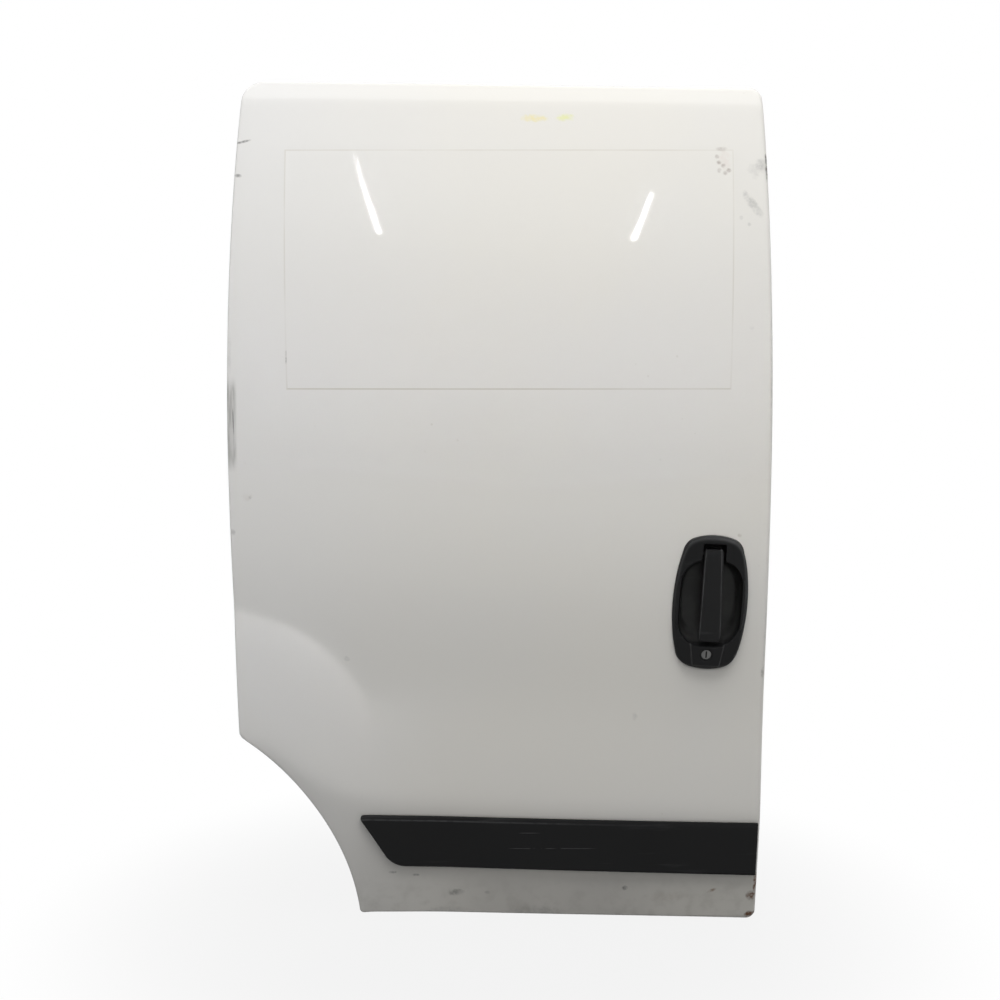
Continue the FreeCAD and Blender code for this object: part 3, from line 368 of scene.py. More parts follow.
LIP, LIP_FALL, LIP_SLOPE, LIP_BEND = 461.0, 0.014, 0.30, 2.5
PLAN_BOW, SKIN_OUT = 6.0, 56.0


def ramp(distance, width):
    """Soft ramp: width * log(1 + exp(distance / width))."""
    return width * np.logaddexp(0.0, distance / width)


def soft_most(first, second, width):
    """Smooth maximum: the larger value plus width * log(1 + exp(-difference / width))."""
    return np.maximum(first, second) + width * np.log1p(np.exp(-np.abs(first - second) / width))


def smooth(value, start, end):
    """Smooth step from 0 at start to 1 at end."""
    t = np.clip((value - start) / (end - start), 0, 1)
    return t * t * (3 - 2 * t)


def body_depth(z):
    """Two arcs that meet upright at the waist, then a straight run down."""
    u = z - WAIST
    upper = ROOF_ARC - np.sqrt(ROOF_ARC ** 2 - np.clip(u, 0, None) ** 2)
    lower = LOWER_ARC - np.sqrt(LOWER_ARC ** 2 - np.clip(u, -LOWER_ARC_DROP, 0) ** 2)
    slope = LOWER_ARC_DROP / np.sqrt(LOWER_ARC ** 2 - LOWER_ARC_DROP ** 2)
    return upper + lower + slope * np.clip(-LOWER_ARC_DROP - u, 0, None)


def flare_height(x):
    """Circle over the wheel arch that runs out into a nearly level line."""
    across = x - REAR + FLARE_CENTRE_BACK
    over = np.sqrt(np.clip(FLARE_RADIUS ** 2 - across ** 2, 0, None)) + FLARE_CENTRE
    return soft_most(over, FLARE_LINE - FLARE_FALL * (x - MIDDLE), FLARE_BLEND)


def skin_depth(x, z):
    """Y of the outside face: section, minus flare and shoulder, plus sill tuck, top lip and bow in plan."""
    ahead = smooth(x, REAR + EASE_START, REAR + EASE_START + EASE_LENGTH)
    below_flare = flare_height(x) - z
    arched = SILL_RISE * np.exp(-((x - REAR - SILL_RISE_FORWARD) / SILL_RISE_LENGTH) ** 2)
    below_sill = arched + SILL_LINE - SILL_FALL * (x - MIDDLE) - z
    above_lip = z - LIP + LIP_FALL * (x - REAR)
    flare_slope = FLARE_SLOPE - FLARE_SLOPE_LOSS * ahead
    depth = body_depth(z) - flare_slope * ramp(below_flare, FLARE_BEND * (1 + 6 * ahead))
    depth -= SHOULDER * (1 - ahead) * (1 - np.exp(-ramp(below_flare, SHOULDER_BEND) / SHOULDER_RUN))
    depth += SILL_SLOPE * ramp(below_sill, SILL_BEND) + LIP_SLOPE * ramp(above_lip, LIP_BEND)
    return depth + PLAN_BOW * (2 * (x - MIDDLE) / WIDTH) ** 2 - SKIN_OUT


print("skin depth at the waist:", skin_depth(MIDDLE, WAIST).round(2))
print("skin depth at the lip:", skin_depth(MIDDLE, LIP).round(2))

# %% [markdown]
# The outline comes next: a bowed rear edge that turns into the wheel-arch cut, and a straight front edge.
# Both are functions of height, and the rows of the grid run straight from one to the other, which keeps
# top and bottom straight.
# %% Side edges of the skin
TOP, BOTTOM = (490.6, 481.24), (-737.7, -753.6)
BOW_RADIUS, BOW_MIDDLE = 15923.4, 18.9
ARCH_X, ARCH_Z, ARCH_RADIUS, ARCH_BLEND = -283.0, -772.0, 384.5, 3.0
REAR_CORNERS, FRONT_CORNERS = (30.0, 6.0), (18.0, 14.0)


def corner_in(z, limit, radius, sign):
    """How far a rounded corner draws an edge in, near a limit above (+1) or below (-1)."""
    past = np.clip(sign * (z - limit) + radius, 0, radius)
    return radius - np.sqrt(radius ** 2 - past ** 2)


def rear_edge(z):
    """Larger of the bowed rear edge (a very wide circle) and the wheel-arch circle, with rounded ends."""
    bow = REAR + BOW_RADIUS - np.sqrt(BOW_RADIUS ** 2 - (z - BOW_MIDDLE) ** 2)
    arch = ARCH_X + np.sqrt(np.clip(ARCH_RADIUS ** 2 - (z - ARCH_Z) ** 2, 0, None))
    edge = soft_most(bow, arch, ARCH_BLEND)
    return edge + corner_in(z, TOP[0], REAR_CORNERS[0], 1) + corner_in(z, BOTTOM[0], REAR_CORNERS[1], -1)


def front_edge(z):
    """Straight front edge with two rounded corners."""
    return FRONT - corner_in(z, TOP[1], FRONT_CORNERS[0], 1) - corner_in(z, BOTTOM[1], FRONT_CORNERS[1], -1)


def side_normals(x, z, outward):
    """Unit normals of a side curve in the plane of the door; upright at its two ends."""
    along = np.stack([np.gradient(x), np.gradient(z)], axis=1)
    normal = np.stack([along[:, 1], -along[:, 0]], axis=1) * outward
    normal /= np.linalg.norm(normal, axis=1, keepdims=True)
    normal[0], normal[-1] = (0, -1), (0, 1)
    return normal


low_round, high_round, tall = FRONT_CORNERS[1], REAR_CORNERS[0], 1230.0
turn = np.linspace(0, np.pi / 2, 9)
heights = np.concatenate([
    low_round * (1 - np.cos(turn)),
    np.linspace(low_round, tall - high_round, 208)[1:],
    tall - high_round + high_round * np.sin(turn)[1:]]) / tall
rear_z = BOTTOM[0] + heights * (TOP[0] - BOTTOM[0])
front_z = BOTTOM[1] + heights * (TOP[1] - BOTTOM[1])
rear_side = np.stack([rear_edge(rear_z), rear_z], axis=1)
front_side = np.stack([front_edge(front_z), front_z], axis=1)
rear_out = side_normals(rear_side[:, 0], rear_z, -1)
front_out = side_normals(front_side[:, 0], front_z, 1)
reaches = rear_side[:, 0].min().round(1), front_side[:, 0].max().round(1)
print("outline with", len(heights), "stations, from", reaches[0], "to", reaches[1])

# %% [markdown]
# A pressed panel ends in a rolled edge that is folded flat round the flange of the inner panel. A Bevel on
# a flat sheet would not fold back, so the roll is a profile carried round the outline: quarter round, side
# wall, hem, and back inside to the second face of the sheet. One function makes any such plate, also the
# rubbing strip.
# %% Plate between two side curves
def border_values(inset, shape):
    """The inset of each border point, going smoothly from the near side to the far side."""
    across = np.linspace(0, 1, shape[0])[:, None] ** 6 * np.ones(shape)
    values = inset[0] + (inset[1] - inset[0]) * across
    return values.reshape(-1)[border(np.arange(across.size).reshape(shape))]


def rolled(steps, lift):
    """Profile steps (out, deep) whose depth is counted from the lifted face."""
    return [(out, lambda at, deep=deep: lift(at[:, 0], at[:, 1]) + deep) for out, deep in steps]


def plate(near, far, near_out, far_out, columns, inset, lift, rim, under, keep=None):
    """Ruled grid between two side curves, closed by a profile round its border and by an under face.

    Point (u, v) is near(v) + u * (far(v) - near(v)), with both curves drawn in by the inset along their
    normals; lift gives its depth. Each profile step (out, deep) moves the border outward and inward.
    """
    u = columns[:, None, None]
    near_in = near - near_out * inset[0]
    far_in = far - far_out * inset[1]
    flat = near_in + u * (far_in - near_in)
    normal = near_out + u * (far_out - near_out)
    x, z = flat[..., 0], flat[..., 1]
    count = x.size
    front = np.arange(count).reshape(x.shape)
    loop = border(front)
    edge, edge_out = flat.reshape(-1, 2)[loop], normal.reshape(-1, 2)[loop]
    edge_out = edge_out / np.linalg.norm(edge_out, axis=1, keepdims=True)
    points = [np.stack([x, lift(x, z), z], axis=-1).reshape(-1, 3)]
    loops = [loop]
    for step, (out, deep) in enumerate(rim(border_values(inset, x.shape), lift)):
        at = edge + edge_out * np.reshape(out, (-1, 1))
        points.append(np.stack([at[:, 0], deep(at), at[:, 1]], axis=1))
        loops.append(count + step * len(loop) + np.arange(len(loop)))
    back = front + count + (len(loops) - 1) * len(loop)
    points.append(np.stack([x, under(x, z), z], axis=-1).reshape(-1, 3))
    loops.append(border(back))
    faces = [grid_quads(front, keep), loop_quads(np.array(loops)), grid_quads(back, keep)[:, ::-1]]
    return np.concatenate(points), faces, front, back


print("plate helper ready")

# %% [markdown]
# The handle sits in its own tilted frame on the skin. Its outline is barrel shaped: four wide circles that
# cross near the corners. Seen from the middle, the outline is the nearest circle along each ray, and a
# soft minimum rounds the corners. The same rule gives the hole in the skin and the handle surround.
# %% Handle frame and outline
HANDLE_X, HANDLE_Z = 609.0, -255.0
HANDLE_HALF = (53.5, 99.0)
CORNER_SOFTNESS = 8.0
tilt, lean = np.radians(3.0), np.radians(5.6)
turn_y = np.array([[np.cos(tilt), 0, np.sin(tilt)], [0, 1, 0], [-np.sin(tilt), 0, np.cos(tilt)]])
turn_x = np.array([[1, 0, 0], [0, np.cos(lean), -np.sin(lean)], [0, np.sin(lean), np.cos(lean)]])
HANDLE_TURN = turn_y @ turn_x
HANDLE_PLACE = np.array([HANDLE_X, float(skin_depth(HANDLE_X, HANDLE_Z)), HANDLE_Z])


def from_handle(points):
    """Points of the handle frame in the door frame."""
    return points @ HANDLE_TURN.T + HANDLE_PLACE


def circle_through(a, b, c):
    """Centre and radius of the circle through three points."""
    system = 2 * np.array([np.subtract(b, a), np.subtract(c, a)])
    right = np.array([np.dot(b, b) - np.dot(a, a), np.dot(c, c) - np.dot(a, a)])
    centre = np.linalg.solve(system, right)
    return centre, np.linalg.norm(centre - a)


def soft_least(values, width):
    """Smooth minimum: -width * log(sum(exp(-value / width)))."""
    return -width * np.logaddexp.reduce(-np.array(values) / width, axis=0)


def barrel_radius(angle, inset):
    """Distance from the handle's middle to its outline along a ray."""
    wide, tall = HANDLE_HALF[0] - inset, HANDLE_HALF[1] - inset
    top, low = (0.75 * wide, 0.915 * tall), (0.775 * wide, -0.905 * tall)
    rear_top, rear_low = (-top[0], top[1]), (-low[0], low[1])
    widest = 0.03 * tall
    sides = ((rear_top, (0, tall), top), (low, (0, -tall), rear_low),
             (top, (wide, widest), low), (rear_top, (-wide, widest), rear_low))
    ray = np.stack([np.cos(angle), np.sin(angle)])
    reach = []
    for a, b, c in sides:
        centre, radius = circle_through(np.array(a), np.array(b), np.array(c))
        along = centre @ ray
        reach.append(along + np.sqrt(along ** 2 - centre @ centre + radius ** 2))
    reach[:2] = [np.where(ray[1] > 0, reach[0], reach[1])]
    return soft_least(reach, CORNER_SOFTNESS)


print("handle outline to the side and to the top:", barrel_radius(np.array([0.0, np.pi / 2]), 0.0).round(1))

# %% [markdown]
# Now the skin itself. Where the handle sits, a block of grid cells is left out, and a ring of quads runs
# from the edge of that block to the handle's hole, so the hole is clean without any boolean cut.
# %% Outer skin
SHEET = 0.9
EDGE_ROUND = (3.0, 6.0)
WALL_DEEP, HEM_DEEP, HEM_WIDE = 7.2, 8.0, 11.0
BLOCK_HALF = (66.0, 112.0)
HOLE_INSET, HOLE_RINGS = 4.0, 6
columns = np.linspace(0, 1, 142)


def hem_profile(radius, lift):
    """Quarter round of the edge, side wall, flat hem, and back along the inside of the sheet."""
    steps = [(radius * np.sin(a), radius * (1 - np.cos(a))) for a in np.radians([18, 36, 54, 72, 90])]
    steps += [(radius, WALL_DEEP), (radius - 0.3, WALL_DEEP + 0.6), (radius - 1.0, HEM_DEEP)]
    steps += [(radius - HEM_WIDE, HEM_DEEP), (radius - HEM_WIDE, HEM_DEEP - SHEET)]
    steps += [(radius - SHEET, HEM_DEEP - SHEET), (radius - SHEET, radius)]
    steps += [(radius * 0.62, radius * 0.25 + SHEET)]
    return rolled(steps, lift)


near_in = rear_side - rear_out * EDGE_ROUND[0]
far_in = front_side - front_out * EDGE_ROUND[1]
grid_x = near_in[:, 0] + columns[:, None] * (far_in[:, 0] - near_in[:, 0])
grid_z = near_in[:, 1] + columns[:, None] * (far_in[:, 1] - near_in[:, 1])
block = (np.abs(grid_x - HANDLE_X) < BLOCK_HALF[0]) & (np.abs(grid_z - HANDLE_Z) < BLOCK_HALF[1])
first_column, first_row = np.argwhere(block).min(axis=0)
last_column, last_row = np.argwhere(block).max(axis=0)
keep = np.ones((len(columns) - 1, len(heights) - 1), dtype=bool)
keep[first_column:last_column, first_row:last_row] = False
points, faces, front, back = plate(
    rear_side, front_side, rear_out, front_out, columns, EDGE_ROUND, skin_depth, hem_profile,
    lambda x, z: skin_depth(x, z) + SHEET, keep)

patch = (slice(first_column, last_column + 1), slice(first_row, last_row + 1))
mouth = border(front[patch])
local = (points[mouth] - HANDLE_PLACE) @ HANDLE_TURN
bearing = np.arctan2(local[:, 2], local[:, 0])
reach = barrel_radius(bearing, HOLE_INSET)
hole = from_handle(np.stack([reach * np.cos(bearing), 0 * reach, reach * np.sin(bearing)], axis=1))
steps = np.linspace(0, 1, HOLE_RINGS + 1)[1:, None, None]
between = points[mouth] + steps * (hole - points[mouth])
between[..., 1] = skin_depth(between[..., 0], between[..., 2])
behind = between + np.array([0.0, SHEET, 0.0])
ring_points = between.size // 3
outside = np.concatenate([mouth[None], len(points) + np.arange(ring_points).reshape(HOLE_RINGS, -1)])
inside = np.concatenate([border(back[patch])[None], outside[1:] + ring_points])
points = np.concatenate([points, between.reshape(-1, 3), behind.reshape(-1, 3)])
hole_wall = loop_quads(np.stack([outside[-1], inside[-1]]))
faces += [loop_quads(outside)[:, ::-1], loop_quads(inside), hole_wall[:, ::-1]]
skin = put_piece("door_skin", points, faces, "door", "outer_skin")

# %% [markdown]
# The rubbing strip is a moulded bar that follows the skin. A narrow facet runs along its top, its rear end
# is raked and rounded, and its front end is cut square. It is another plate, lifted off the skin by a
# height that falls towards the top.
# %% Rubbing strip
STRIP_LOW, STRIP_TALL = -659.0, 83.0
STRIP_TOP = STRIP_LOW + STRIP_TALL
STRIP_REAR, STRIP_FRONT = 107.0, 689.0
STRIP_FRONT_LOW, STRIP_FRONT_TALL = -676.0, 84.0
STRIP_FALL = 16.0 / (STRIP_FRONT - STRIP_REAR)
RAKE, RAKE_PLACE = 0.591, (108.5, -588.0)
FOOT_ROUND, FOOT_CENTRE, FOOT_TOP = 36.0, (171.0, -623.0), -641.3
FOOT_TURN = 59.5
STRIP_OUT, STRIP_ROUND, STRIP_CORNER, STRIP_SUNK = 9.0, 2.2, 8.0, 0.1


def strip_rear_edge(z):
    """Raked straight edge that turns into the bottom on a circle; rounded at the top."""
    raked = RAKE_PLACE[0] + RAKE * (RAKE_PLACE[1] - z)
    below = np.clip(FOOT_CENTRE[1] - z, 0, FOOT_ROUND)
    foot = FOOT_CENTRE[0] - np.sqrt(FOOT_ROUND ** 2 - below ** 2)
    return np.where(z < FOOT_TOP, foot, raked) + corner_in(z, STRIP_TOP, STRIP_CORNER, 1)


def strip_height(x, z):
    """Height off the skin: 9 mm, falling over the narrow upper facet with a soft break."""
    above = z - STRIP_TOP + STRIP_FALL * (x - STRIP_REAR)
    return STRIP_OUT - 0.05 * ramp(above + 25.0, 1.2) - 0.45 * ramp(above + 5.5, 0.7)


def strip_face(x, z):
    """Depth of the strip's outside face."""
    return skin_depth(x, z) - strip_height(x, z)


def strip_seat(x, z):
    """Depth of the strip's back, which lies on the skin."""
    return skin_depth(x, z) - STRIP_SUNK


def strip_profile(radius, lift):
    """Quarter round of the edge, then straight down to the skin."""
    steps = [(radius * np.sin(a), radius * (1 - np.cos(a))) for a in np.radians([22.5, 45, 67.5, 90])]
    return rolled(steps, lift) + [(radius, lambda at: strip_seat(at[:, 0], at[:, 1]))]


foot_rise = FOOT_ROUND * (1 - np.cos(np.radians(np.linspace(0, FOOT_TURN, 10)))) / STRIP_TALL
strip_rows = np.concatenate([
    foot_rise, np.linspace(foot_rise[-1], 0.80, 16)[1:], np.linspace(0.82, 0.97, 16),
    [0.98, 0.985, 0.99, 0.995, 1.0]])
strip_columns = np.concatenate([[0, 0.002, 0.005], np.linspace(0.01, 0.99, 110), [0.995, 0.998, 1.0]])
strip_z = STRIP_LOW + STRIP_TALL * strip_rows
strip_rear = np.stack([strip_rear_edge(strip_z), strip_z], axis=1)
strip_front_z = STRIP_FRONT_LOW + STRIP_FRONT_TALL * strip_rows
strip_front = np.stack([np.full_like(strip_rows, STRIP_FRONT), strip_front_z], axis=1)
points, faces, _, _ = plate(
    strip_rear, strip_front, side_normals(strip_rear[:, 0], strip_rear[:, 1], -1),
    side_normals(strip_front[:, 0], strip_front[:, 1], 1), strip_columns, (STRIP_ROUND, STRIP_ROUND),
    strip_face, strip_profile, strip_seat)
strip = put_piece("rubbing_strip", points, faces, "door", "lower_strip")

# %% [markdown]
# The handle surround is one moulding: a raised barrel-shaped rim, a deep scooped bowl for the fingers, a
# pocket over the pivot and a shield-shaped boss round the lock. All of it is one surface of rays: along
# each ray the profile runs from the bowl floor up the scoop, over the rim and down to the skin.
# %% Profile of the handle surround
BOWL_HALF, BOWL_POWER, BOWL_DEEP = (45.5, 63.0), 2.95, 26.0
POCKET_HALF, POCKET_TOP = 16.4, 87.0
FLOOR_SHARE = 0.80
LIP_WIDE, LIP_RISE = 2.5, 3.0
RIM_OUT, RIM_WIDE, RIM_FALL = 9.0, 8.0, 4.6
rays = np.linspace(0, 2 * np.pi, 481)[:-1]
outline = barrel_radius(rays, 0.0)
across_share = np.abs(np.cos(rays) / BOWL_HALF[0]) ** BOWL_POWER
along_share = np.abs(np.sin(rays) / BOWL_HALF[1]) ** BOWL_POWER
bowl = (across_share + along_share) ** (-1 / BOWL_POWER)
pocket_side = POCKET_HALF / np.clip(np.abs(np.cos(rays)), 0.02, None)
pocket_end = POCKET_TOP / np.clip(np.sin(rays), 0.02, None)
pocket = np.where(np.sin(rays) > 0.05, soft_least([pocket_side, pocket_end], 3.5), 0.0)
hollow = 2.0 * np.logaddexp(bowl / 2.0, pocket / 2.0)
ease = np.linspace(0, np.pi / 2, 15)[:, None]
scoop_ease, lip_ease, rim_ease = ease[1:], ease[2::3], ease[2::2]
floor_steps = np.linspace(0.02, 1, 13)[:, None]
face_steps = np.linspace(0, 1, 28)[1:, None]
radius = np.concatenate([
    floor_steps * FLOOR_SHARE * hollow,
    hollow * (FLOOR_SHARE + (1 - FLOOR_SHARE) * np.sin(scoop_ease)),
    hollow + LIP_WIDE * (1 - np.cos(lip_ease)),
    (hollow + LIP_WIDE) + face_steps * (outline - RIM_WIDE - hollow - LIP_WIDE),
    outline - RIM_WIDE + RIM_WIDE * np.sin(rim_ease),
    outline[None]])
depth = np.concatenate([
    np.full_like(floor_steps, BOWL_DEEP),
    BOWL_DEEP - (BOWL_DEEP + RIM_OUT - LIP_RISE) * (1 - np.cos(scoop_ease)),
    LIP_RISE - RIM_OUT - LIP_RISE * np.sin(lip_ease),
    np.full_like(face_steps, -RIM_OUT),
    -RIM_OUT + RIM_FALL * (1 - np.cos(rim_ease)),
    [[0.0]]]) * np.ones_like(radius)
across, along = radius * np.cos(rays), radius * np.sin(rays)
print("surround profile:", radius.shape[0], "steps on", radius.shape[1], "rays")

# %% [markdown]
# On the flat of the rim the shield and the hole for the lock are soft steps added to the depth, which
# keeps the surface in one piece. How much painted highlight each point of the rim gets, most near its
# edge, at the top and on the right side, is kept on the mesh, where the finish reads it.
# %% Handle surround
LOCK_DROP, LOCK_HOLE, LOCK_DEEP = 76.0, 8.0, 7.0
SHIELD_HALF, SHIELD_TAPER, SHIELD_MIDDLE, SHIELD_OUT = 24.0, 0.15, -62.0, 2.6
RIM_CROWN = 0.8
SEAT_GAP = 1.25
HIGHLIGHT_FROM_EDGE = 2.4
WALL = 0.0020

on_rim = smooth(depth, -7.5, -8.9)
shield_side = SHIELD_HALF + SHIELD_TAPER * (along - SHIELD_MIDDLE) - np.abs(across)
shield = smooth(shield_side, -0.8, 0.8) * smooth(along, -93.5, -91.0)
shield = shield * smooth(-along, 50.0, 56.0) * on_rim
to_lock = np.hypot(across, along + LOCK_DROP)
depth = depth - SHIELD_OUT * shield + LOCK_DEEP * smooth(-to_lock, -LOCK_HOLE - 1.4, -LOCK_HOLE) * on_rim
depth = depth - RIM_CROWN * on_rim * smooth(np.abs(across), 40.0, 20.0)
surround_points = from_handle(np.stack([across, depth, along], axis=-1).reshape(-1, 3))
foot = surround_points[-len(rays):]
foot[:, 1] = skin_depth(foot[:, 0], foot[:, 2]) - SEAT_GAP
# Painted highlight along the rim's edge, stronger at the top and on the right side.
near_edge = np.exp(-((outline - radius - HIGHLIGHT_FROM_EDGE) / HIGHLIGHT_FROM_EDGE) ** 2)
rim_highlight = near_edge * smooth(along, -80.0, 40.0) * (0.55 + 0.45 * smooth(across, -20.0, 30.0))
loops = np.arange(radius.size).reshape(radius.shape)
middle = from_handle(np.array([[0.0, BOWL_DEEP, 0.0]]))
fan = np.stack([np.full(len(rays), radius.size), np.roll(loops[0], -1), loops[0]], axis=1)
surround = put_piece("handle_surround", np.concatenate([surround_points, middle]),
                     [loop_quads(loops), fan[:, ::-1]], "door", "handle_escutcheon",
                     np.append(rim_highlight.reshape(-1), 0.0))
wall = surround.modifiers.new("wall", "SOLIDIFY")
wall.thickness, wall.offset = WALL, -1.0

# %% [markdown]
# The pull grip is a rounded bar that widens to its foot, hung from a lug on the pivot pin. A tube of
# superellipse sections gives its flat face with rounded corners; the sections follow the stations of the
# solid model.
# %% Pull grip
GRIP_STATIONS = np.array([
    [-54.0, 14.3, 2.5, -11.2, 8.2], [-46.0, 16.0, 2.5, -12.8, 10.0], [-8.0, 14.9, 1.25, -14.0, 11.0],
    [32.0, 13.75, 0.0, -13.6, 11.0], [73.0, 13.7, 0.0, -12.0, 10.0], [77.8, 12.4, 0.0, -10.2, 8.2]])
LUG_SECTION = (10.0, 0.0, -5.0, 18.5)
DOME = 2.2


def tube(stations, sides, power):
    """Closed tube along the handle's Z with domed ends.

    Each station is (z, half width, shift, front, thickness); its section is a superellipse of that power.
    """
    angle = np.linspace(0, 2 * np.pi, sides + 1)[:-1]
    ring_x = np.sign(np.cos(angle)) * np.abs(np.cos(angle)) ** (2 / power)
    ring_y = np.sign(np.sin(angle)) * np.abs(np.sin(angle)) ** (2 / power)
    z, half, shift, face, thick = (column[:, None] for column in stations.T)
    body = np.stack([shift + half * ring_x, face + thick / 2 * (1 + ring_y), z + 0 * ring_x], axis=-1)
    dome = np.linspace(0, np.pi / 2, 7)[1:]
    centre = body.mean(axis=1, keepdims=True)

    def cap(row, sign):
        size = np.cos(dome)[:, None, None] * 0.25 + 0.75
        size[-1] = 0.02
        rise = np.array([0.0, 0.0, sign * DOME]) * np.sin(dome)[:, None, None]
        return centre[row] + (body[row] - centre[row]) * size + rise

    rings = np.concatenate([cap(0, -1)[::-1], body, cap(-1, 1)])
    index = np.arange(rings.shape[0] * sides).reshape(-1, sides)
    return rings.reshape(-1, 3), [loop_quads(index), index[:1, ::-1], index[-1:, :]]


fine_z = np.linspace(GRIP_STATIONS[0, 0], GRIP_STATIONS[-1, 0], 90)
sections = [np.interp(fine_z, GRIP_STATIONS[:, 0], GRIP_STATIONS[:, k]) for k in range(1, 5)]
kernel = np.hanning(13) / np.hanning(13).sum()
softened = [np.convolve(np.pad(values, 6, mode="edge"), kernel, mode="valid") for values in sections]
bar_points, bar_faces = tube(np.stack([fine_z] + softened, axis=1), 72, 4.5)
lug = np.column_stack([np.linspace(64.5, 75.5, 8), np.tile(LUG_SECTION, (8, 1))])
lug_points, lug_faces = tube(lug, 40, 6.0)
grip_points = from_handle(np.concatenate([bar_points, lug_points]))
grip_faces = bar_faces + [group + len(bar_points) for group in lug_faces]
grip = put_piece("pull_grip", grip_points, grip_faces, "grip", "handle_grip")

# %% [markdown]
# A narrow collar frames the lock barrel. A profile turned about the barrel's axis closes on itself, like a
# ring.
# %% Lock collar
COLLAR = np.array([[7.2, -5.0], [7.2, -11.0], [7.7, -11.5], [8.9, -11.5], [9.5, -11.0], [9.5, -5.0]])
spin = np.linspace(0, 2 * np.pi, 73)[:-1]
collar_x, collar_z = COLLAR[:, :1] * np.cos(spin), COLLAR[:, :1] * np.sin(spin) - LOCK_DROP
ring = np.stack([collar_x, COLLAR[:, 1:] + 0 * spin, collar_z], axis=-1)
index = np.arange(ring.shape[0] * len(spin)).reshape(-1, len(spin))
collar_faces = loop_quads(np.concatenate([index, index[:1]]))[:, ::-1]
collar = put_piece("lock_collar", from_handle(ring.reshape(-1, 3)), [collar_faces], "door")

# %% [markdown]
# On the inside, small fixings hold things down: bolts on the roller brackets, screws on the latches and
# the release bezel, push clips round the fibre board. Each head is a turned profile, set where a ray meets
# the solid, along the surface normal there, so it sits flush on a leaning plate too.
# %% Bolts, screws and clips
BOLT = np.array([[10.0, -0.3], [10.0, 1.4], [7.0, 1.6], [6.5, 5.6], [5.6, 6.6], [0.05, 6.8]])
SCREW = BOLT * 0.42
CLIP = np.array([[9.0, -0.3], [9.0, 1.2], [7.6, 2.4], [3.4, 2.8], [3.0, 2.0], [0.05, 1.8]])
FROM_CABIN, FROM_FRONT, FROM_REAR = (0.0, -1.0, 0.0), (-1.0, 0.0, 0.0), (1.0, 0.0, 0.0)
BOARD_LOW, BOARD_HIGH = -578.0, -102.0
BOARD_REAR, BOARD_FRONT = -8.0, 625.0


def places(xs, y, zs):
    """Every pair of an x and a z, at one y."""
    return [(x, y, z) for x in xs for z in zs]


def fixings(name, node_name, starts, ray, head):
    """Turned heads in one mesh: a profile (radius, height) spun about the surface normal at each place."""
    node = frame["nodes"][node_name]
    spin = np.linspace(0, 2 * np.pi, 25)[:-1]
    groups, faces = [], []
    for start in starts:
        hit, place, normal, _ = node.ray_cast(np.array(start) * MM, ray)
        if not hit:
            raise ValueError(f"{name}: no surface of {node_name} at {start}")
        normal = np.array(normal)
        side = np.cross(normal, [0.0, 0.3, 1.0])
        side /= np.linalg.norm(side)
        other = np.cross(normal, side)
        round_about = np.cos(spin)[:, None] * side + np.sin(spin)[:, None] * other
        rings = np.array(place) / MM + head[:, :1, None] * round_about + head[:, 1:, None] * normal
        index = len(faces) * rings.size // 3 + np.arange(rings.size // 3).reshape(len(head), -1)
        groups.append(rings.reshape(-1, 3))
        faces.append(loop_quads(index))
    return put_piece(name, np.concatenate(groups), faces, "door")


clip_places = places(np.linspace(0, BOARD_FRONT, 6), 200.0, [BOARD_HIGH])
clip_places += places(np.linspace(190, BOARD_FRONT, 4), 200.0, [BOARD_LOW])
clip_places += places([BOARD_FRONT], 200.0, (-220.0, -340.0, -460.0))
clip_places += places([BOARD_REAR], 200.0, (-220.0, -330.0))
upper_places = places((617.0, 649.0), 400.0, (347.0, 413.0))
lower_places = places((568.0, 618.0), 70.0, (-645.0, -692.0))
bezel_places = places([530.0], 100.0, (-158.0, -260.0))
front_places = places([720.0], -11.0, (-299.0, -225.0))
rear_places = places([-90.0], -15.5, (-227.0, -153.0))
clips = fixings("board_clips", "trim_board", clip_places, FROM_CABIN, CLIP)
steel_heads = [
    fixings("upper_bolts", "upper_roller_arm", upper_places, FROM_CABIN, BOLT),
    fixings("lower_bolts", "lower_roller_arm", lower_places, FROM_CABIN, BOLT),
    fixings("bezel_screws", "release_bezel", bezel_places, FROM_CABIN, SCREW),
    fixings("front_latch_screws", "front_latch_plate", front_places, FROM_FRONT, SCREW),
    fixings("rear_latch_screws", "rear_latch_plate", rear_places, FROM_REAR, SCREW),
]

# %% [markdown]
# White door paint after years of use: a glossy clear layer over warm white, road film that thickens
# towards the sill, a pale outline where a sign was stuck, scuffs and chips at the edges. Every mark is a
# mask made of place, so it stays on the door in any view.
# %% White skin paint
SIGN_TOP, SIGN_FOOT = 0.386, 0.0505
paint = Finish("skin_paint", Coat_Roughness=0.035, Coat_IOR=1.5, IOR=1.45)
cloud = paint.noise(3.0, 5.0)
speckle = paint.noise(55.0, 6.0)
grain = paint.noise(240.0, 3.0)
ragged = paint.noise(130.0, 4.0)
streaks = paint.noise(60.0, 4.0, (5.0, 1.0, 0.35))
warmth = paint.x.rise(-0.10, 0.32)
white = paint.mixed(warmth, (0.800, 0.792, 0.774), (0.800, 0.780, 0.728))
white = paint.mixed(cloud.rise(0.35, 0.7) * 0.5, white, (0.782, 0.772, 0.748))

sign_rear = -paint.x + 0.0115 - paint.z * 0.0298
sign_front = paint.x - 0.6313 - paint.z * 0.0328
sign_edge = sign_rear.most(sign_front).most((paint.z - SIGN_TOP).most(SIGN_FOOT - paint.z))
sign_line = abs(sign_edge).rise(0.0016, 0.0003) * (paint.noise(9.0).rise(0.30, 0.62) * 0.8 + 0.2)
sign_foot = abs(paint.z - SIGN_FOOT).rise(0.0016, 0.0004) * sign_rear.most(sign_front).rise(0.002, -0.002)
colour = paint.mixed(sign_line * 0.30 + sign_foot * 0.22, white, (0.46, 0.42, 0.33))

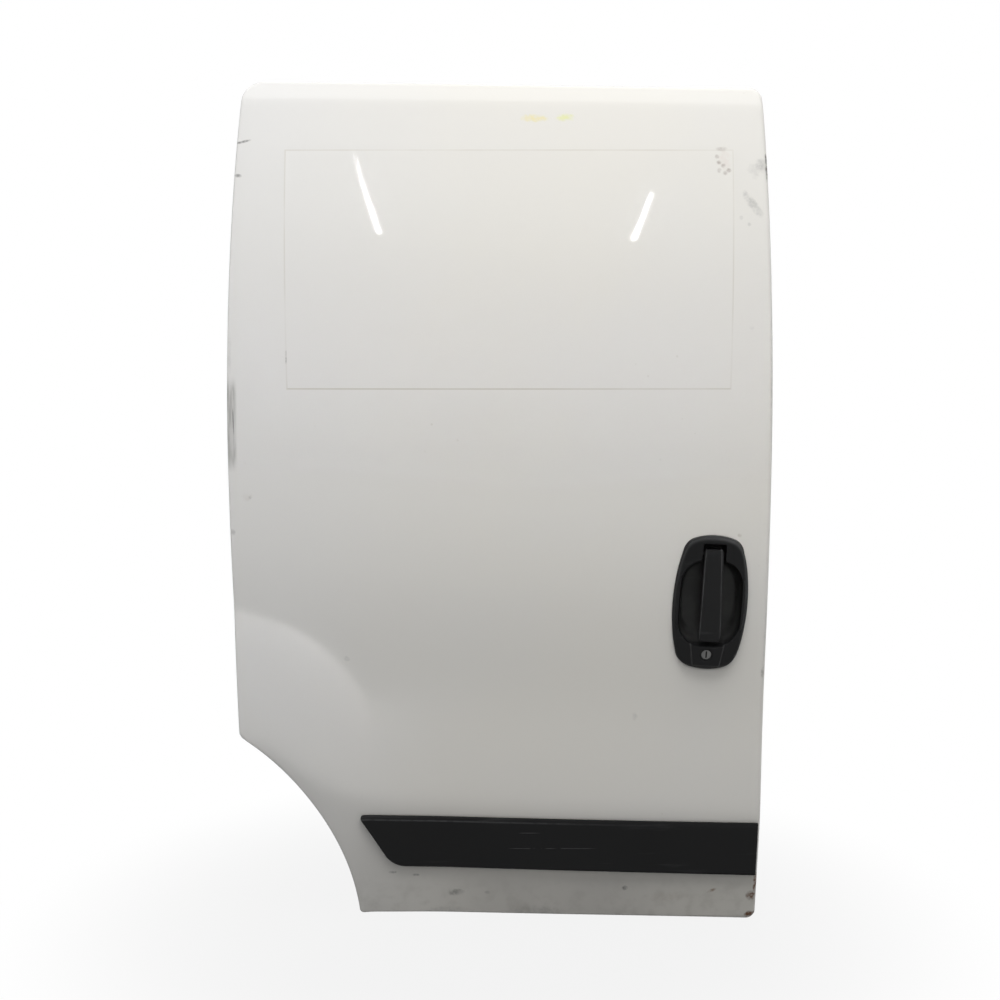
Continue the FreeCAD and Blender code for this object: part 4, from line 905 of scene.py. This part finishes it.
film = (-paint.z).rise(0.55, 0.745) * (cloud.rise(0.25, 0.75) * 0.7 + 0.3)
colour = paint.mixed(film * 0.40, colour, paint.mixed(warmth, (0.40, 0.40, 0.40), (0.50, 0.48, 0.40)))
low_dirt = (-paint.z).rise(0.655, 0.735) * speckle.rise(0.42, 0.78)
colour = paint.mixed(low_dirt * 0.28, colour, (0.30, 0.28, 0.24))
# Darker band below the rubbing strip, in the middle of the door, down to the bottom edge.
low_middle_band = paint.x.rise(0.16, 0.34) * paint.x.rise(0.62, 0.46) * (-paint.z).rise(0.672, 0.690)
colour = paint.mixed(low_middle_band * (cloud.rise(0.2, 0.8) * 0.5 + 0.5) * 0.42, colour, (0.36, 0.35, 0.34))
dots = paint.cells(38.0).rise(0.085, 0.04) * paint.noise(6.0).rise(0.56, 0.70)
colour = paint.mixed(dots * 0.22, colour, (0.45, 0.40, 0.32))
print("paint: film, sign outline and dots done")

# %% [markdown]
# Marks that the door has picked up one by one: scuffs at the rear edge and the worn place of the centre
# guide, glue left by the sign, chips at the front edge and rust at the front bottom corner. Two long faint
# grey lines along the front edge are painted shade of the rolled edge. A list of places in millimetres is
# enough: x, z, half width, half height, lean, tint and strength.
# %% Scuffs, chips, rust and painted edge shade
DARK, GREY, BROWN = (0.035, 0.034, 0.032), (0.26, 0.26, 0.25), (0.30, 0.22, 0.15)
RUST, GLUE = (0.14, 0.070, 0.036), (0.24, 0.18, 0.15)
MARKS = [
    (-61, 398.5, 7, 3.4, 1.2, DARK, 0.80), (-66, 349, 6, 2.8, 0, DARK, 0.60),
    (-49, -102, 9, 6, 0, BROWN, 0.16), (-44, -103, 3, 2.5, 0, GREY, 0.30),
    (-70, -153, 4, 5, 0, GREY, 0.40), (-71, 100, 3, 30, 0, GREY, 0.15),
    (88, -340, 4.5, 4.5, 0, GREY, 0.24), (505, -428, 5, 6, 0, GREY, 0.24),
    (663, 135, 4, 3, 0, GREY, 0.16), (649, -157, 3.5, 3, 0, BROWN, 0.35),
    (8.6, 94, 1.2, 10, 0, DARK, 0.45), (691, 361, 1.8, 22, 0, DARK, 1.0),
    (684, 364, 9, 11, 0, GREY, 0.44), (673, 356, 9, 12, 0, GREY, 0.20),
    (669, 308, 8, 20, -1.5, GREY, 0.46), (652, 289, 3.2, 3.7, 0, GREY, 0.36),
    (663, 280, 3.2, 3.2, 0, GREY, 0.36), (150, -671, 6, 2.2, 0, DARK, 0.55),
    (184, -676, 7, 2.2, 0, DARK, 0.60), (243, -706, 12, 6, 0, DARK, 0.60),
    (290, -706, 5, 3, 0, GREY, 0.45), (496, -699, 5, 4.5, 0, DARK, 0.90),
    (626, -704, 5, 4, 1.0, BROWN, 0.90), (560, -714, 30, 9, 0, BROWN, 0.16),
    (690, -690, 3.5, 18, 0, RUST, 1.3), (684, -713, 8, 9, 0, RUST, 1.3),
    (685, -746, 9, 7, 0, RUST, 1.4), (364, -738, 42, 10, 0, GREY, 0.38),
    (230, -738, 40, 8, 0, GREY, 0.30), (689, -363, 3, 9, 0, DARK, 0.45),
    # The two long grey lines at x 691 on the next line are painted shade along the rolled front edge.
    (691, -300, 2.5, 60, 0, GREY, 0.25), (691, 60, 2, 120, 0, GREY, 0.2),
    (628, 387.5, 8, 3.5, 0, GLUE, 0.38), (620.5, 376.5, 3.5, 4, 0, GLUE, 0.60),
    (623, 368, 4, 4, 0, GLUE, 0.66), (629, 363.5, 4, 3.5, 0, GLUE, 0.66),
    (623, 357, 3.5, 4, 0, GLUE, 0.55), (630.5, 353, 4, 3.5, 0, GLUE, 0.62),
    (637, 356.5, 4, 3.5, 0, GLUE, 0.62),
]
ragged_edge = (ragged - 0.5) * 2.4
grainy = grain.rise(0.30, 0.62) * 0.5 + 0.5


def spot(x, z, wide, tall, lean):
    """Soft patch about a place in millimetres, leaning forward as it rises, with a ragged, grainy edge."""
    upward = (paint.z - z * MM) / (tall * MM)
    across = (paint.x - x * MM) / (wide * MM)
    if lean:
        across = across - upward * lean
    spread = across * across + upward * upward + ragged_edge
    return spread.rise(1.3, -0.3) * grainy


guide_wear = (paint.x + 0.0625).rise(0.003, -0.004) * abs(paint.z).rise(0.070, 0.042)
guide_wear = guide_wear * (streaks.rise(0.30, 0.70) * 0.6 + 0.4)
wear_and_shade_marks = guide_wear
colour = paint.mixed(guide_wear * 0.70, colour, (0.27, 0.268, 0.25))
crack = abs(paint.x + 0.0662).rise(0.0014, 0.0004) * abs(paint.z).rise(0.062, 0.030)
colour = paint.mixed(crack * streaks.rise(0.46, 0.56) * 0.55, colour, DARK)
colour = paint.mixed(spot(631, 371, 10, 16, 0) * 0.45, colour, (0.74, 0.66, 0.61))
for x, z, wide, tall, lean_forward, tint, strength in MARKS:
    patch_mask = spot(x, z, wide, tall, lean_forward) * strength
    colour = paint.mixed(patch_mask, colour, tint)
    wear_and_shade_marks = wear_and_shade_marks.most(patch_mask)
print(len(MARKS), "marks on the paint")

# %% [markdown]
# Near the top there are two short smears of yellow paint pen. The last lines set the gloss: dirt, worn and
# marked places (the painted shade along the front edge too) and the film that the sign left are dull, and a
# very fine relief breaks the reflections as sprayed paint does.
# %% Pen smears and gloss of the paint
smears = spot(359, 433, 20, 6, 0).most(spot(403, 434, 14, 6, 0))
pen = paint.mixed(paint.x.rise(0.37, 0.39), (0.84, 0.72, 0.16), (0.74, 0.79, 0.14))
colour = paint.mixed(smears * 0.60, colour, pen)
dull = (film * 0.6).most(wear_and_shade_marks).most(low_dirt)
residue = sign_edge.rise(0.004, -0.002) * paint.z.rise(0.262, 0.372)
paint.bump(grain * 0.20 + paint.noise(14.0, 2.0) * 0.8 - guide_wear * 0.8, 0.06, 0.0006)
clear_coat = (1.0 - dull * 0.85) * (1.0 - residue * 0.88) * 0.9
skin_paint = paint.use(Base_Color=colour, Roughness=0.36 + dull * 0.30, Coat_Weight=clear_coat)
skin.data.materials.append(skin_paint)

# %% [markdown]
# Black mouldings. Rubbing strips and handles are grained in the tool, so their gloss is broken by a
# leathery relief; sun turns them a little grey, and rubbing leaves paler scuffs. One function makes each
# of them from its own numbers, with further functions for the painted highlights along edges and creases
# (with two real scuff marks on the strip) and for the pale film of dust and painted light in the handle's
# bowl, which only some of them have.
# %% Moulded plastics
# Pale tone of the film in the handle's bowl: dust, and painted light that lifts the shade of the hollow.
DUST_AND_LIGHT_TONE = (0.045, 0.045, 0.044)


def moulded(name, dark, pale, grain_size, relief, dullness, lines=None, dust_and_light=None, **plain):
    """Grained plastic: cell relief, cloudy fading, scuff marks; may add painted highlight lines, dust and
    painted light.
    """
    finish = Finish(name, IOR=1.45, **plain)
    fading = finish.noise(5.0, 5.0).rise(0.35, 0.75)
    scuffs_and_highlights = finish.noise(22.0, 4.0, (0.35, 1.0, 3.5)).rise(0.60, 0.78) * 0.30
    # The lines add painted highlights to the scuff marks, and on the strip two real scuff marks too.
    if lines:
        scuffs_and_highlights = scuffs_and_highlights.most(lines(finish))
    pits = finish.cells(grain_size)
    finish.bump(pits + finish.noise(grain_size * 0.4, 2.0) * 0.5, relief, 0.0004)
    tone = finish.mixed(fading * 0.6, dark, pale)
    if dust_and_light:
        tone = finish.mixed(dust_and_light(finish), tone, DUST_AND_LIGHT_TONE)
    tone = finish.mixed(scuffs_and_highlights, tone, tuple(min(1.0, 3.0 * v + 0.03) for v in pale))
    return finish.use(Base_Color=tone, Roughness=dullness + fading * 0.10 + scuffs_and_highlights * 0.30)


def strip_highlight_and_scuffs(finish):
    """Painted highlight along the crease of the strip, brighter towards the rear, and two long scuff marks
    on its face.
    """
    top = STRIP_TOP * MM - (finish.x - STRIP_REAR * MM) * STRIP_FALL
    # Painted highlight: a pale line where the crease catches the light, fading towards the front.
    crease = abs(finish.z - top + 0.0056).rise(0.0018, 0.0003) * finish.x.rise(0.60, 0.20)
    low = abs(finish.z + 0.6293).rise(0.0010, 0.0003) * finish.x.rise(0.318, 0.335)
    low = low * finish.x.rise(0.456, 0.430)
    high = abs(finish.z + 0.6040).rise(0.0009, 0.0003) * finish.x.rise(0.334, 0.345)
    high = high * finish.x.rise(0.372, 0.355)
    broken = finish.noise(70.0, 4.0).rise(0.34, 0.52)
    return crease * (broken * 0.4 + 0.6) * 0.8 + low.most(high) * broken


def in_handle(finish):
    """Across and along the tilted handle, in metres from its middle."""
    aside, upward = finish.x - HANDLE_X * MM, finish.z - HANDLE_Z * MM
    return aside * np.cos(tilt) - upward * np.sin(tilt), aside * np.sin(tilt) + upward * np.cos(tilt)


def grip_edge_highlights(finish):
    """Painted highlights on the corners along both sides of the grip, which widens downward."""
    across, along = in_handle(finish)
    side = abs(across - 0.0010 + along * 0.0316) - 0.01467 + along * 0.0288
    return abs(side + 0.0012).rise(0.0013, 0.0004) * (finish.noise(40.0, 3.0).rise(0.25, 0.60) * 0.5 + 0.25)


def shield_and_rim_highlights(finish):
    """Painted highlights on the edges of the shield round the lock, and the painted highlight of the rim
    kept on the mesh.
    """
    across, along = in_handle(finish)
    side = abs(across) - SHIELD_HALF * MM - (along - SHIELD_MIDDLE * MM) * SHIELD_TAPER
    low = along.rise(-0.094, -0.090) * along.rise(-0.058, -0.064)
    edges = abs(side).rise(0.0016, 0.0004) * low * (finish.noise(60.0, 3.0).rise(0.25, 0.60) * 0.4 + 0.4)
    return edges.most(finish.node("ShaderNodeAttribute", {"attribute_name": "rim_highlight"}, out="Fac") * 0.9)


def bowl_dust_and_light(finish):
    """Pale film that thickens down the scooped bowl of the handle: dust, and painted light against the shade
    of the hollow.
    """
    inward = HANDLE_TURN[:, 1]
    start = HANDLE_PLACE * MM
    deep = (finish.x - start[0]) * inward[0] + (finish.y - start[1]) * inward[1]
    deep = deep + (finish.z - start[2]) * inward[2]
    return deep.rise(-0.006, 0.012) * (finish.noise(30.0, 4.0).rise(0.25, 0.75) * 0.4 + 0.5)


print("moulded finishes ready")

# %% [markdown]
# Each moulding then gets its own dark and pale tone, grain size, relief and dullness. The gasket and the
# buffer are soft rubber, the pads are dull mastic and the rollers are off-white hard plastic.
# %% Black plastics, rubber and rollers
strip_plastic = moulded(
    "strip_plastic", (0.0085, 0.0087, 0.009), (0.014, 0.0143, 0.0147), 900.0, 0.22, 0.46,
    strip_highlight_and_scuffs, Specular_IOR_Level=0.14)
handle_plastic = moulded(
    "handle_plastic", (0.0075, 0.0077, 0.008), (0.012, 0.0122, 0.0125), 1100.0, 0.18, 0.30,
    shield_and_rim_highlights, bowl_dust_and_light, Specular_IOR_Level=0.14)
grip_plastic = moulded(
    "grip_plastic", (0.0085, 0.0087, 0.009), (0.016, 0.0163, 0.0167), 1300.0, 0.14, 0.32,
    grip_edge_highlights, Specular_IOR_Level=0.16)
cabin_plastic = moulded("cabin_plastic", (0.030, 0.030, 0.032), (0.045, 0.045, 0.048), 1000.0, 0.25, 0.50)
seal_rubber = moulded("seal_rubber", (0.012, 0.012, 0.012), (0.03, 0.03, 0.03), 500.0, 0.15, 0.70)
mastic = moulded("mastic", (0.05, 0.05, 0.05), (0.12, 0.12, 0.115), 160.0, 0.5, 0.85)
roller_plastic = moulded("roller_plastic", (0.62, 0.59, 0.52), (0.74, 0.72, 0.66), 700.0, 0.08, 0.35)
strip.data.materials.append(strip_plastic)
surround.data.materials.append(handle_plastic)
grip.data.materials.append(grip_plastic)
collar.data.materials.append(handle_plastic)
clips.data.materials.append(cabin_plastic)

# %% [markdown]
# Behind the skin the steel is sprayed thinly, with cloudy dust; the lower half is covered by a pressed
# fibre board, rubbed by the load.
# %% Inner paint and board
inner = Finish("inner_paint", IOR=1.45, Coat_Roughness=0.2)
dust = inner.noise(4.0, 6.0).rise(0.40, 0.75)
runs = inner.noise(12.0, 4.0, (2.5, 2.5, 0.35)).rise(0.55, 0.75)
inner.bump(inner.noise(420.0, 3.0), 0.12, 0.0004)
tone = inner.mixed(dust * 0.45, (0.72, 0.715, 0.70), (0.56, 0.54, 0.49))
tone = inner.mixed(runs * 0.25 + inner.cells(30.0).rise(0.07, 0.03) * 0.3, tone, (0.40, 0.37, 0.32))
inner_paint = inner.use(Base_Color=tone, Roughness=0.42 + dust * 0.25, Coat_Weight=0.35 - dust * 0.25)

board = Finish("trim_board", IOR=1.4)
fibre = board.noise(260.0, 5.0, (1.0, 1.0, 2.2))
blotch = board.noise(5.0, 5.0).rise(0.4, 0.75)
load_rub = board.noise(16.0, 5.0, (0.4, 1.0, 2.0)).rise(0.60, 0.80)
board.bump(fibre + board.cells(520.0) * 0.6, 0.30, 0.0006)
tone = board.mixed(blotch * 0.6, (0.080, 0.081, 0.086), (0.115, 0.114, 0.116))
tone = board.mixed(load_rub * 0.35, tone, (0.21, 0.205, 0.20))
trim_board = board.use(Base_Color=tone, Roughness=0.72 + blotch * 0.12)

# %% [markdown]
# The latch parts are zinc plated with a yellow cast, the lock is nickel gone dull, and the brackets are
# black coated. All of them are metal with cloudy tarnish, and rust shows in freckles or where the coat is
# worn.
# %% Steels
FRECKLE = (0.16, 0.07, 0.03)


def plated(name, bright, dull_tint, roughness, rust_share):
    """Metal with cloudy tarnish, fine scratches and rust freckles."""
    finish = Finish(name)
    tarnish = finish.noise(26.0, 5.0).rise(0.35, 0.75)
    hair = finish.noise(180.0, 3.0, (0.25, 0.25, 3.0))
    freckle = finish.noise(70.0, 6.0).rise(0.62, 0.74) * rust_share
    finish.bump(hair, 0.10, 0.0003)
    tone = finish.mixed(freckle, finish.mixed(tarnish, bright, dull_tint), FRECKLE)
    uneven = roughness + tarnish * 0.18 + freckle * 0.3
    return finish.use(Base_Color=tone, Metallic=1.0 - freckle * 0.9, Roughness=uneven)


lock_metal = plated("lock_metal", (0.115, 0.115, 0.113), (0.07, 0.07, 0.068), 0.36, 0.10)
bare_steel = plated("bare_steel", (0.52, 0.51, 0.49), (0.34, 0.33, 0.31), 0.32, 0.45)
latch_steel = plated("latch_steel", (0.58, 0.55, 0.46), (0.42, 0.39, 0.31), 0.34, 0.35)
for heads in steel_heads:
    heads.data.materials.append(bare_steel)

coat = Finish("arm_steel", IOR=1.45)
coat_wear = coat.noise(60.0, 6.0).rise(0.62, 0.76)
coat.bump(coat.noise(300.0, 3.0), 0.18, 0.0004)
tone = coat.mixed(coat_wear * 0.6, (0.030, 0.030, 0.031), (0.17, 0.10, 0.06))
arm_steel = coat.use(Base_Color=tone, Roughness=0.42 + coat_wear * 0.35)

# %% [markdown]
# Each solid that is still shown gets the finish of its own slot of the record.
# %% Finishes on the solids
SLOTS = {entry["node"]: entry["material_slot"] for entry in frame["record"]["subparts"]}
FINISHES = {
    "skin_paint": skin_paint, "inner_paint": inner_paint, "mastic": mastic, "strip_plastic": strip_plastic,
    "seal_rubber": seal_rubber, "handle_plastic": handle_plastic, "grip_plastic": grip_plastic,
    "lock_metal": lock_metal, "bare_steel": bare_steel, "latch_steel": latch_steel, "trim_board": trim_board,
    "cabin_plastic": cabin_plastic, "arm_steel": arm_steel, "roller_plastic": roller_plastic,
}
for name, node in frame["nodes"].items():
    for place in node.material_slots:
        place.material = FINISHES[SLOTS[name]]
print(len(SLOTS), "solids finished")
